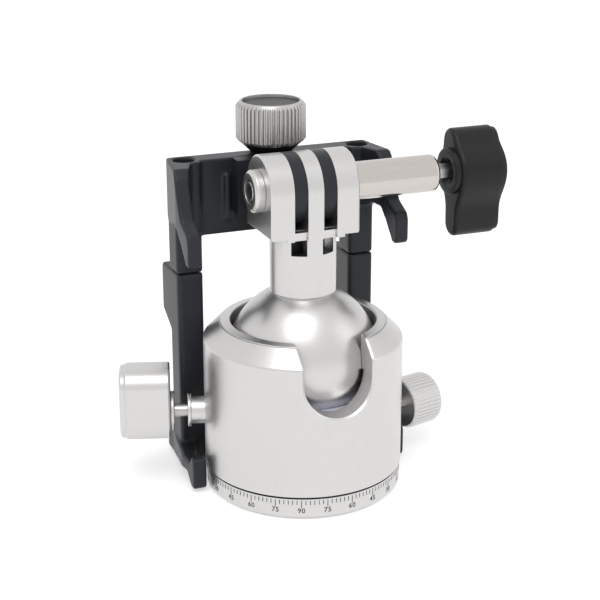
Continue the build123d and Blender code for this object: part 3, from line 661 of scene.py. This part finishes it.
# %% Ball and neck
NECK_R = 6.9
CHAMFER = 0.12
FILLET_R = 6.62  # where the neck's foot chamfer meets the ball
FILLET_RISE = 0.3
SCREW_R = 2.0  # the screw that holds the fin block runs up the middle
HEAD_R = 3.4
HEAD_Z = 17.7
SPIGOT_R = 4.6
SPIGOT_Z = 47.4
BALL_ARCS = 72
ball_outline = [(SCREW_R, HEAD_Z), (HEAD_R, HEAD_Z)]
start_angle = -acos(HEAD_R / BALL_R)
end_angle = acos(FILLET_R / BALL_R)
for step in range(BALL_ARCS + 1):
    angle = start_angle + (end_angle - start_angle) * step / BALL_ARCS
    ball_outline.append((BALL_R * cos(angle), BALL_Z + BALL_R * sin(angle)))
neck_foot = BALL_Z + sqrt(BALL_R**2 - FILLET_R**2)
ball_outline += [
    (NECK_R, neck_foot + FILLET_RISE),
    (NECK_R, NECK_TOP - CHAMFER),
    (NECK_R - CHAMFER, NECK_TOP),
    (SPIGOT_R, NECK_TOP),
    (SPIGOT_R, SPIGOT_Z),
    (SCREW_R, SPIGOT_Z),
]
ball_piece = lathe("ball_and_neck", ball_outline)
for side in (-1, 1):
    cut(ball_piece, pocket_tool(side, NECK_TOP + 1))
dress(soften(ball_piece), "satin_alloy", "ball", "ball")
# the walls deep in each pocket of the neck get painted shade
line_gaps(ball_piece, half=1.5, front=-8, back=-2.5, low=POCKET_Z - 0.1, high=NECK_TOP - 0.05)

# %% [markdown]
# The fin block is milled from the solid. Its engineering node has the right shape, so it is copied and
# not modelled again. The copy gets the pockets too, because its spigot stands in the neck behind them,
# and a small sill closes the foot of each gap.

# %% Fin block
SILL_HALF = 1.6
SILL_Y = (-6.7, -4.6)
SILL_Z = (55.8, 57.45)
fins = copied("fin_block", "fins")
sills = []
for side in (-1, 1):
    cut(fins, pocket_tool(side, NECK_TOP - 0.02))
    outline = box_outline((side * GAP_X - SILL_HALF, SILL_Y[0]), (side * GAP_X + SILL_HALF, SILL_Y[1]))
    sills.append(prism("sill", outline, *SILL_Z))
fins = join("fins_and_sills", [fins, *sills])
dress(soften(fins, 0.16), "satin_alloy", "ball", "fin_block")
# the fin block's faces inside each pocket get painted shade
line_gaps(fins, half=1.6, front=-5.2, back=-2.3, low=POCKET_Z - 0.2, high=NECK_TOP + 0.02)

# %% [markdown]
# The thumbscrew is a bolt in a polished sleeve. The sleeve ends in a rounded shoulder, and a slimmer
# hexagonal neck joins it to the grip. The bolt stops inside the sleeve, and at its other end a thin dark
# ring is the face of the nut. Cylinders with bevels could stand in for them, but the steps and the rounded
# ends are easier to draw as outlines for the lathe.

# %% Bolt and nut
PIN_Z = 65.2  # height of the pin through the three fins
PIN = plane_at((0, 0, PIN_Z), (0, 1, 0), (1, 0, 0))
BOLT_R = 2.5
BOLT_TIP_R = 1.95
BOLT_START = -11.6  # places along the pin are measured from the middle of the fins
BOLT_STEP = -10.9
BOLT_END = 26.6
SOCKET_R = 1.35
SOCKET_END = -9.6
NUT_BORE = 2.06
NUT_R = 3.5
NUT_START = -11.3
NUT_END = -10.95
bolt_outline = eased([
    (0.0, BOLT_START),
    (BOLT_TIP_R, BOLT_START, 0.2),
    (BOLT_TIP_R, BOLT_STEP),
    (BOLT_R, BOLT_STEP),
    (BOLT_R, BOLT_END),
    (0.0, BOLT_END),
])
bolt = lathe("pin_bolt_turned", bolt_outline, PIN, SMALL_ROUND)
cut(bolt, prism("hexagon_tool", circle(SOCKET_R, 6), BOLT_START - 0.4, SOCKET_END, PIN))
dress(soften(bolt), "steel", "thumbscrew", "pin_bolt")
# the inside of the hexagon socket gets painted shade
line_pocket(bolt, (-1.5, -1.5, BOLT_START + 0.02), (1.5, 1.5, SOCKET_END + 0.1), PIN)
nut_outline = eased([
    (NUT_BORE, NUT_START),
    (NUT_R, NUT_START, 0.1),
    (NUT_R, NUT_END),
    (NUT_BORE, NUT_END),
])
dress(soften(lathe("nut_face", nut_outline, PIN, SMALL_ROUND)), "dark_alloy", "ball")

# %% Sleeve and neck
SLEEVE_R = 3.95
SLEEVE_BORE = 2.56
SLEEVE_START = 9.75
SLEEVE_END = 29.6
SHOULDER_START = 27.0
SHOULDER_BORE = 1.3
NECK_HEX_R = 1.85
sleeve_outline = eased([
    (SLEEVE_BORE, SLEEVE_START),
    (SLEEVE_R, SLEEVE_START, 0.1),
    (SLEEVE_R, SLEEVE_END, 1.0),
    (SHOULDER_BORE, SLEEVE_END),
    (SHOULDER_BORE, SHOULDER_START),
    (SLEEVE_BORE, SHOULDER_START),
])
dress(soften(lathe("sleeve_turned", sleeve_outline, PIN, 96)), "bright_sleeve", "thumbscrew", "pin_sleeve")
neck = prism("hexagonal_neck", circle(NECK_HEX_R, 6, 30), SHOULDER_START + 0.2, SLEEVE_END + 10, PIN)
dress(soften(neck, 0.12), "steel", "thumbscrew", "knob_stub")

# %% [markdown]
# The grip is a moulded knob with two unequal wings, so that the thumb feels which way it points. Its
# outline is three rounded forms melted together: a hub and two wings. Metaballs would melt them too, but
# only roughly. A blend of their distances gives the soft fillets where the wings leave the hub, to the
# size that is asked for. The shorter wing leans towards the clamp.

# %% Distance to the grip's edge
HUB_R = 5.6
WINGS = (  # direction of the wing in degrees, its reach, its half width, how softly it meets the hub
    (75.0, 9.0, 2.95, 2.6),
    (-90.0, 14.3, 2.8, 4.6),
)


def blend(first, second, soft):
    """The smaller of two distances, rounded where they are nearly equal."""
    near = max(soft - abs(first - second), 0.0) / soft
    return min(first, second) - near * near * soft / 4


def wing_distance(x, y):
    """Distance from a point to the grip's outline. It is negative inside."""
    total = hypot(x, y) - HUB_R
    for turn, reach, half, soft in WINGS:
        ux, uy = cos(radians(turn)), sin(radians(turn))
        along = min(max(x * ux + y * uy, 0.0), reach - half)
        total = blend(total, hypot(x - along * ux, y - along * uy) - half, soft)
    return total


print("the hub's centre lies", round(-wing_distance(0.0, 0.0), 1), "mm inside the edge")

# %% Outline of the grip
RAY = 16.0  # longer than any wing
HALVINGS = 30


def wing_outline(shrink, count=144):
    """Points where rays from the hub's centre meet the outline, drawn in by shrink."""
    points = []
    for step in range(count):
        turn = 2 * pi * step / count
        low, high = 0.0, RAY
        for _ in range(HALVINGS):
            middle = (low + high) / 2
            if wing_distance(middle * cos(turn), middle * sin(turn)) < -shrink:
                low = middle
            else:
                high = middle
        points.append((low * cos(turn), low * sin(turn)))
    return points


print("the grip reaches", round(max(hypot(x, y) for x, y in wing_outline(0.0)), 1), "mm from the pin")

# %% Wing knob
WING_START = 33.7
WING_END = 44.4
BOSS_START = 32.6
BOSS_END = 34.2
BOSS_R = 4.9
wing_profile = (  # place along the pin, how far the outline is drawn in
    (WING_START, 0.9),
    (WING_START + 0.1, 0.55),
    (WING_START + 0.3, 0.22),
    (WING_START + 0.6, 0.04),
    (WING_START + 0.9, 0.0),
    (WING_END - 1.5, 0.0),
    (WING_END - 1.38, 0.06),
    (WING_END - 1.3, 0.4),
    (WING_END - 0.5, 0.42),
    (WING_END - 0.2, 0.52),
    (WING_END - 0.06, 0.7),
    (WING_END, 1.0),
)
boss_outline = eased([
    (0.0, BOSS_START),
    (2.0, WING_START),
    (3.1, BOSS_START, 0.1),
    (BOSS_R, BOSS_START, 0.25),
    (BOSS_R, BOSS_END),
    (0.0, BOSS_END),
])
rings = [[(x, y, along) for x, y in wing_outline(shrink)] for along, shrink in wing_profile]
grip = tube("grip_wings", rings, PIN)
boss = lathe("grip_boss", boss_outline, PIN, 96)
winged_grip = join("winged_grip", [soften(grip), soften(boss)])
dress(winged_grip, "black_plastic", "thumbscrew", "wing_knob")

# %% [markdown]
# The degree ring is turned like the housing. A stack of two cylinders would miss the bevel under its
# edge, which is what makes it look thin, so it gets an outline of its own.

# %% Degree ring
RING_R = 20.8
RING_BORE = 15.0
RING_TOP = 4.84
RING_BEVEL = 1.0
ring_profile = eased([
    (RING_BORE, 0.0),
    (RING_R - RING_BEVEL, 0.0, 0.15),
    (RING_R, RING_BEVEL, 0.3),
    (RING_R, RING_TOP, 0.05),
    (RING_BORE, RING_TOP),
])
dress(soften(lathe("dial_ring", ring_profile, sides=FINE_ROUND)), "satin_alloy", "base", "degree_ring")

# %% [markdown]
# The ring's marks are cut and filled with black on the real piece. Here they are thin plates of ink that
# lie on the metal, made by one Geometry Nodes tree. A loop of separate boxes could draw them, but a tree
# can be read and changed by its named inputs. These helpers build a tree: one starts it, one adds a node
# and feeds its inputs by name, and one runs it on a piece.

# %% Building a tree


def new_tree(name, inputs):
    """A Geometry Nodes tree with named inputs, given as (label, socket type, default)."""
    tree = bpy.data.node_groups.new(name, "GeometryNodeTree")
    tree.interface.new_socket("Geometry", in_out="INPUT", socket_type="NodeSocketGeometry")
    for label, kind, value in inputs:
        socket = tree.interface.new_socket(label, in_out="INPUT", socket_type=kind)
        if value is not None:
            socket.default_value = value
    tree.interface.new_socket("Geometry", in_out="OUTPUT", socket_type="NodeSocketGeometry")
    return tree, tree.nodes.new("NodeGroupInput").outputs, tree.nodes.new("NodeGroupOutput").inputs


def feed(tree, socket, value):
    """Give an input socket a plain value, or link it to another node's output."""
    if isinstance(value, bpy.types.NodeSocket):
        tree.links.new(value, socket)
    else:
        socket.default_value = value


def add_node(tree, kind, inputs):
    """A node of the given kind, with its inputs fed by name."""
    node = tree.nodes.new(kind)
    for label, value in inputs.items():
        feed(tree, node.inputs[label], value)
    return node


def maths(tree, operation, first, second):
    """A maths node. Each side is a socket or a number."""
    node = tree.nodes.new("ShaderNodeMath")
    node.operation = operation
    feed(tree, node.inputs[0], first)
    feed(tree, node.inputs[1], second)
    return node.outputs[0]


def triple(tree, x, y, z):
    """Three sockets or numbers as one vector."""
    return add_node(tree, "ShaderNodeCombineXYZ", {"X": x, "Y": y, "Z": z}).outputs[0]


print("helpers for building a tree ready")

# %% Running a tree


def run_tree(piece, tree, values):
    """Set the tree's inputs by identifier, then make the result the piece's own mesh."""
    step = piece.modifiers.new(tree.name, "NODES")
    step.node_group = tree
    for item in tree.interface.items_tree:
        if item.item_type == "SOCKET" and item.in_out == "INPUT" and item.name in values:
            step[item.identifier] = values[item.name]
    return settle(piece)


print("helper to run a tree ready")

# %% [markdown]
# The tree sets one plate on each point of a circle and makes every sixth one longer. The plates hang from
# one height, so a longer one is lowered by half of what it gained. They turn with the circle, and at the
# end they become real geometry with the ink's material.

# %% A tree for the tick marks
TICKS = 144
LONG_EVERY = 6


def dial_tree():
    """Plates of ink round a circle."""
    tree, given, result = new_tree("dial_ticks", [
        ("Radius", "NodeSocketFloat", 0.02),
        ("Count", "NodeSocketInt", TICKS),
        ("Every", "NodeSocketInt", LONG_EVERY),
        ("Width", "NodeSocketFloat", 0.0002),
        ("Short", "NodeSocketFloat", 0.001),
        ("Long", "NodeSocketFloat", 0.002),
        ("Top", "NodeSocketFloat", 0.005),
        ("Start", "NodeSocketFloat", 0.0),
        ("Thickness", "NodeSocketFloat", 0.00004),
        ("Ink", "NodeSocketMaterial", None),
    ])
    size = triple(tree, given["Thickness"], given["Width"], 1.0)
    plate = add_node(tree, "GeometryNodeMeshCube", {"Size": size})
    spots = {"Vertices": given["Count"], "Radius": given["Radius"]}
    ring = add_node(tree, "GeometryNodeMeshCircle", spots)
    index = tree.nodes.new("GeometryNodeInputIndex").outputs[0]
    angle = maths(tree, "MULTIPLY", index, maths(tree, "DIVIDE", 2 * pi, given["Count"]))
    is_long = maths(tree, "LESS_THAN", maths(tree, "MODULO", index, given["Every"]), 0.5)
    extra = maths(tree, "MULTIPLY", is_long, maths(tree, "SUBTRACT", given["Long"], given["Short"]))
    length = maths(tree, "ADD", given["Short"], extra)
    height = maths(tree, "SUBTRACT", given["Top"], maths(tree, "MULTIPLY", length, 0.5))
    place = add_node(tree, "GeometryNodeInstanceOnPoints", {
        "Points": ring.outputs["Mesh"],
        "Instance": plate.outputs["Mesh"],
        "Rotation": triple(tree, 0.0, 0.0, angle),
        "Scale": triple(tree, 1.0, 1.0, length),
    })
    lift = add_node(tree, "GeometryNodeTranslateInstances", {
        "Instances": place.outputs["Instances"],
        "Translation": triple(tree, 0.0, 0.0, height),
        "Local Space": False,
    })
    solid = add_node(tree, "GeometryNodeRealizeInstances", {"Geometry": lift.outputs["Instances"]})
    turn = add_node(tree, "GeometryNodeTransform", {
        "Geometry": solid.outputs["Geometry"],
        "Rotation": triple(tree, 0.0, 0.0, given["Start"]),
    })
    inked = {"Geometry": turn.outputs["Geometry"], "Material": given["Ink"]}
    ink = add_node(tree, "GeometryNodeSetMaterial", inked)
    tree.links.new(ink.outputs["Geometry"], result["Geometry"])
    return tree


DIAL_TREE = dial_tree()
print("the dial's tree has", len(DIAL_TREE.nodes), "nodes")

# %% Tick marks
INK_DEPTH = 0.05
DIAL_START = radians(247.5)  # the 90 mark, a little left of the notch
ticks = make_piece("dial_ticks", [(0, 0, 0)], [])
run_tree(ticks, DIAL_TREE, {
    "Radius": RING_R * MM,
    "Count": TICKS,
    "Every": LONG_EVERY,
    "Width": 0.15 * MM,
    "Short": 0.93 * MM,
    "Long": 1.63 * MM,
    "Top": 4.55 * MM,
    "Start": DIAL_START,
    "Thickness": INK_DEPTH * MM,
    "Ink": FINISH["dial_ink"],
})
dress(ticks, "dial_ink", "base")

# %% [markdown]
# The numbers count down from 90 to 0 on each side and up again, once every 15 degrees. Each one is a text
# object, because drawing digits by hand is not worth the work. It is made a mesh and then bent: its width
# becomes an angle round the ring.

# %% Dial numbers
NUMBERS = 24
NUMBER_STEP = 15
NUMBER_HEIGHT = 1.08
NUMBER_FOOT = 1.78  # height of the numbers' lower edge


def number_mesh(label, height, thick):
    """The label as points in millimetres, centred on x, standing on y = 0, and its faces."""
    text = bpy.data.curves.new("label", "FONT")
    text.body = label
    text.align_x = "CENTER"
    text.extrude = 0.5
    text.space_character = 1.12
    text.offset = 0.012
    item = add_object("label", text)
    mesh = plain_mesh(item)
    points = [v.co.copy() for v in mesh.vertices]
    faces = [tuple(f.vertices) for f in mesh.polygons]
    bpy.data.objects.remove(item)
    bpy.data.curves.remove(text)
    bpy.data.meshes.remove(mesh)
    low, high = min(p.y for p in points), max(p.y for p in points)
    grow = height / (high - low)
    return [(p.x * grow, (p.y - low) * grow, p.z * thick) for p in points], faces


numbers_points, numbers_faces = [], []
for mark in range(NUMBERS):
    value = abs(90 - NUMBER_STEP * min(mark, NUMBERS - mark))
    points, faces = number_mesh(str(value), NUMBER_HEIGHT, INK_DEPTH)
    first = len(numbers_points)
    middle = DIAL_START + radians(NUMBER_STEP * mark)
    for x, y, z in points:
        angle = middle + x / RING_R
        numbers_points.append(((RING_R + z) * cos(angle), (RING_R + z) * sin(angle), NUMBER_FOOT + y))
    numbers_faces += [tuple(first + v for v in face) for face in faces]
dress(make_piece("dial_numbers", numbers_points, numbers_faces), "dial_ink", "base")

# %% [markdown]
# Knurled knobs have straight ridges round a barrel. An Array modifier with an empty that is turned a
# little would repeat one ridge, but all copies would be the same. A Geometry Nodes tree keeps the count
# and the spread editable too, and a little seeded unevenness in their height stops the ridges from
# looking printed.

# %% A tree that repeats a piece round an axis


def ring_array_tree():
    """Copies of a piece round local z, each a little different in size."""
    tree, given, result = new_tree("ring_array", [
        ("Count", "NodeSocketInt", 40),
        ("Spread", "NodeSocketFloat", 0.0),
        ("Seed", "NodeSocketInt", 3),
        ("Finish", "NodeSocketMaterial", None),
    ])
    line = add_node(tree, "GeometryNodeMeshLine", {"Count": given["Count"], "Offset": (0, 0, 0)})
    index = tree.nodes.new("GeometryNodeInputIndex").outputs[0]
    angle = maths(tree, "MULTIPLY", index, maths(tree, "DIVIDE", 2 * pi, given["Count"]))
    chance = add_node(tree, "FunctionNodeRandomValue", {"Seed": given["Seed"]})
    chance.data_type = "FLOAT"
    feed(tree, chance.inputs[2], maths(tree, "SUBTRACT", 1.0, given["Spread"]))
    feed(tree, chance.inputs[3], 1.0)
    uneven = chance.outputs[1]
    place = add_node(tree, "GeometryNodeInstanceOnPoints", {
        "Points": line.outputs["Mesh"],
        "Instance": given["Geometry"],
        "Rotation": triple(tree, 0.0, 0.0, angle),
        "Scale": triple(tree, uneven, uneven, 1.0),
    })
    solid = add_node(tree, "GeometryNodeRealizeInstances", {"Geometry": place.outputs["Instances"]})
    covered = {"Geometry": solid.outputs["Geometry"], "Material": given["Finish"]}
    cover = add_node(tree, "GeometryNodeSetMaterial", covered)
    tree.links.new(cover.outputs["Geometry"], result["Geometry"])
    return tree


RING_ARRAY = ring_array_tree()
print("the ring array takes", [i.name for i in RING_ARRAY.interface.items_tree if i.in_out == "INPUT"])

# %% One ridge
UNEVEN = 0.004  # how much the ridges differ in height, as a share


def one_ridge(name, radius, width, height, low, high, slope, root=0.3, steps=6):
    """One ridge along local z: a rounded bar that slopes down to the barrel at both ends."""
    rings = []
    for z, rise in ((low, 0.0), (low + slope, 1.0), (high - slope, 1.0), (high, 0.0)):
        ring = []
        for step in range(steps + 1):
            across = -1 + 2 * step / steps
            tall = radius + rise * height * sqrt(max(0.0, 1 - across * across * 0.9))
            ring.append((tall, across * width / 2, z))
        ring += [(radius - root, width / 2, z), (radius - root, -width / 2, z)]
        rings.append(ring)
    return tube(name, rings)


def move_mesh(piece, place):
    """Carry a mesh made about the origin to its plane, whose offset is in millimetres."""
    to_metres = place.copy()
    to_metres.translation *= MM
    piece.data.transform(to_metres)
    return piece


print("ridges differ in height by up to", 100 * UNEVEN, "percent")

# %% [markdown]
# The clamp's knob is a knurled barrel with a chamfer at each end and a dark cap let into its top. Cutting
# grooves into the barrel would cost a Boolean for each, so the barrel is turned and ridges stand on it.

# %% Clamp knob
CLAMP_KNOB_Y = 18.3
CLAMP_KNOB = Matrix.Translation((0, CLAMP_KNOB_Y, PIN_Z))
KNOB_BORE = 2.0
KNOB_R = 7.0
KNOB_FOOT = 5.4
KNOB_TOP = 14.2
CAP_R = 6.1
CAP_Z = 12.7
KNOB_HEAD_R = 4.0
KNOB_HEAD_Z = 8.4
barrel = eased([
    (KNOB_BORE, KNOB_FOOT),
    (KNOB_R - 0.5, KNOB_FOOT, 0.15),
    (KNOB_R, KNOB_FOOT + 0.7, 0.15),
    (KNOB_R, KNOB_TOP - 0.7, 0.15),
    (KNOB_R - 0.4, KNOB_TOP, 0.25),
    (CAP_R, KNOB_TOP, 0.08),
    (CAP_R, CAP_Z),
    (KNOB_HEAD_R, CAP_Z),
    (KNOB_HEAD_R, KNOB_HEAD_Z),
    (KNOB_BORE, KNOB_HEAD_Z),
])
clamp_barrel = soften(lathe("clamp_barrel", barrel, sides=138))
clamp_ridges = one_ridge("clamp_ridges", KNOB_R, width=0.66, height=0.5, low=5.75, high=13.75, slope=0.6)
knurling = {"Count": 46, "Spread": UNEVEN, "Seed": 7, "Finish": FINISH["knurled_alloy"]}
run_tree(clamp_ridges, RING_ARRAY, knurling)
knurled_knob = move_mesh(join("knurled_knob", [clamp_barrel, soften(clamp_ridges)]), CLAMP_KNOB)
dress(knurled_knob, "knurled_alloy", "clamp_lock", "clamp_knob")

# %% [markdown]
# The pan lock's knob is smaller, with finer ridges and a plain rounded rim at its outer end. It is made
# the same way, on the plane of its own screw. A flat disc closes the hole that the outline leaves.

# %% Pan knob
PAN_START = 27.0
PAN_END = PAN_START + 8.2
PAN_R = 5.5
PAN_SOCKET_R = 1.3
PAN_SOCKET_END = PAN_START + 4.0
COVER_R = 2.0
pan_profile = eased([
    (PAN_SOCKET_R, PAN_START),
    (PAN_R - 0.3, PAN_START, 0.1),
    (PAN_R, PAN_START + 0.3, 0.15),
    (PAN_R, PAN_END - 0.3, 0.9),
    (PAN_R - 1.3, PAN_END, 1.0),
    (COVER_R, PAN_END),
    (COVER_R, PAN_SOCKET_END),
    (PAN_SOCKET_R, PAN_SOCKET_END),
])
pan_barrel = soften(lathe("pan_barrel", pan_profile, sides=120))
pan_cover = soften(prism("pan_cover", circle(COVER_R + 0.05, 48), PAN_END - 0.6, PAN_END - 0.01))
pan_low, pan_high = PAN_START + 0.3, PAN_END - 0.5
pan_ridges = one_ridge("pan_ridges", PAN_R, width=0.56, height=0.25, low=pan_low, high=pan_high, slope=0.7)
ridging = {"Count": 40, "Spread": UNEVEN, "Seed": 5, "Finish": FINISH["satin_alloy"]}
run_tree(pan_ridges, RING_ARRAY, ridging)
ridged_knob = move_mesh(join("ridged_knob", [pan_barrel, pan_cover, soften(pan_ridges)]), PAN)
dress(ridged_knob, "satin_alloy", "pan_lock", "pan_knob")

# %% [markdown]
# The camera stands a little to the left of the notch and looks down on the head. It could be dragged into
# place, but its place is worked out here from two angles and a distance about the point that it looks at,
# so each of them can be read and changed alone.

# %% Camera
TURN = radians(21.72)  # how far round from the notch the camera stands, to the left
RISE = radians(19.28)
DISTANCE = 325.0
LENS = 93.45
AIM_ACROSS = -0.593
AIM_Z = 40.65
across = Vector((cos(TURN), -sin(TURN), 0))
inward = Vector((sin(TURN), cos(TURN), 0))
look = inward * cos(RISE) - Vector((0, 0, 1)) * sin(RISE)
aim = across * AIM_ACROSS + Vector((0, 0, AIM_Z))
camera_data = bpy.data.cameras.new("camera")
camera_data.lens = LENS
camera_data.sensor_width = 36
camera_data.clip_start = 0.01
camera = add_object("camera", camera_data)
camera.location = (aim - look * DISTANCE) * MM
camera.rotation_euler = look.to_track_quat("-Z", "Y").to_euler()
scene.camera = camera
scene.view_settings.view_transform = "Standard"
print("camera at", [round(v, 4) for v in camera.location])

# %% [markdown]
# The floor is plain and pale and keeps the object's shadow. Brighter lamps would make it whiter, but they
# would bleach the metal too. So the floor and the sky are white only to rays from the camera, and to
# those by which metal and glass show their surroundings, and the light on the object stays at a plain
# level.

# %% Rays that see white


def seen_directly(nodes, links):
    """One for camera, glossy and transmission rays, and zero for the rest."""
    path = nodes.new("ShaderNodeLightPath")
    total = path.outputs["Is Camera Ray"]
    for kind in ("Is Glossy Ray", "Is Transmission Ray"):
        either = nodes.new("ShaderNodeMath")
        either.operation = "MAXIMUM"
        links.new(total, either.inputs[0])
        links.new(path.outputs[kind], either.inputs[1])
        total = either.outputs[0]
    return total


print("camera, glossy and transmission rays see white")

# %% Floor
FLOOR_HALF = 3.0  # metres
PAPER = 0.85
WHITENING = 0.5
paper = bpy.data.materials.new("paper")
paper.use_nodes = True
nodes, links = paper.node_tree.nodes, paper.node_tree.links
paint = nodes["Principled BSDF"]
paint.inputs["Base Color"].default_value = (PAPER, PAPER, PAPER, 1)
paint.inputs["Roughness"].default_value = 0.9
paint.inputs["Specular IOR Level"].default_value = 0.1
paint.inputs["Emission Color"].default_value = (1, 1, 1, 1)
glow = nodes.new("ShaderNodeMath")
glow.operation = "MULTIPLY"
links.new(seen_directly(nodes, links), glow.inputs[0])
glow.inputs[1].default_value = WHITENING
links.new(glow.outputs[0], paint.inputs["Emission Strength"])
floor_mesh = bpy.data.meshes.new("floor")
floor_corners = box_outline((-FLOOR_HALF, -FLOOR_HALF), (FLOOR_HALF, FLOOR_HALF))
floor_mesh.from_pydata([(x, y, 0) for x, y in floor_corners], [], [(0, 1, 2, 3)])
floor_mesh.materials.append(paper)
floor = add_object("floor", floor_mesh)
print("the floor is", 2 * FLOOR_HALF, "m wide")

# %% Sky
SKY_LIGHT = 0.6
world = bpy.data.worlds.new("soft_sky")
scene.world = world
world.use_nodes = True
nodes, links = world.node_tree.nodes, world.node_tree.links
white = nodes.new("ShaderNodeMix")
white.data_type = "RGBA"
white.inputs["A"].default_value = (SKY_LIGHT, SKY_LIGHT, SKY_LIGHT, 1)
white.inputs["B"].default_value = (1, 1, 1, 1)
links.new(seen_directly(nodes, links), white.inputs["Factor"])
links.new(white.outputs["Result"], nodes["Background"].inputs["Color"])
print("the sky lights the head at", SKY_LIGHT)

# %% [markdown]
# The sky alone would light the head evenly and hide its curves. One broad lamp high on the left draws the
# soft highlights, and a weaker one on the right opens the shadows. Area lamps are used because a small
# lamp or a sun would draw hard edges on the metal.

# %% Lamps
LAMP_AIM = Vector((0, 0, 0.04))


def lamp(name, place, size, power):
    """A rectangular lamp that faces the head. Its place and size are in metres."""
    data = bpy.data.lights.new(name, "AREA")
    data.shape = "RECTANGLE"
    data.size, data.size_y = size
    data.energy = power
    light = add_object(name, data)
    light.location = place
    light.rotation_euler = (LAMP_AIM - Vector(place)).to_track_quat("-Z", "Y").to_euler()
    return light


lamp("key_left", place=(-0.19, -0.33, 0.74), size=(0.5, 0.5), power=1.9)
lamp("fill_right", place=(0.6, -0.3, 0.3), size=(0.3, 0.6), power=0.3)
print("lamps:", ", ".join(light.name for light in bpy.data.lights))
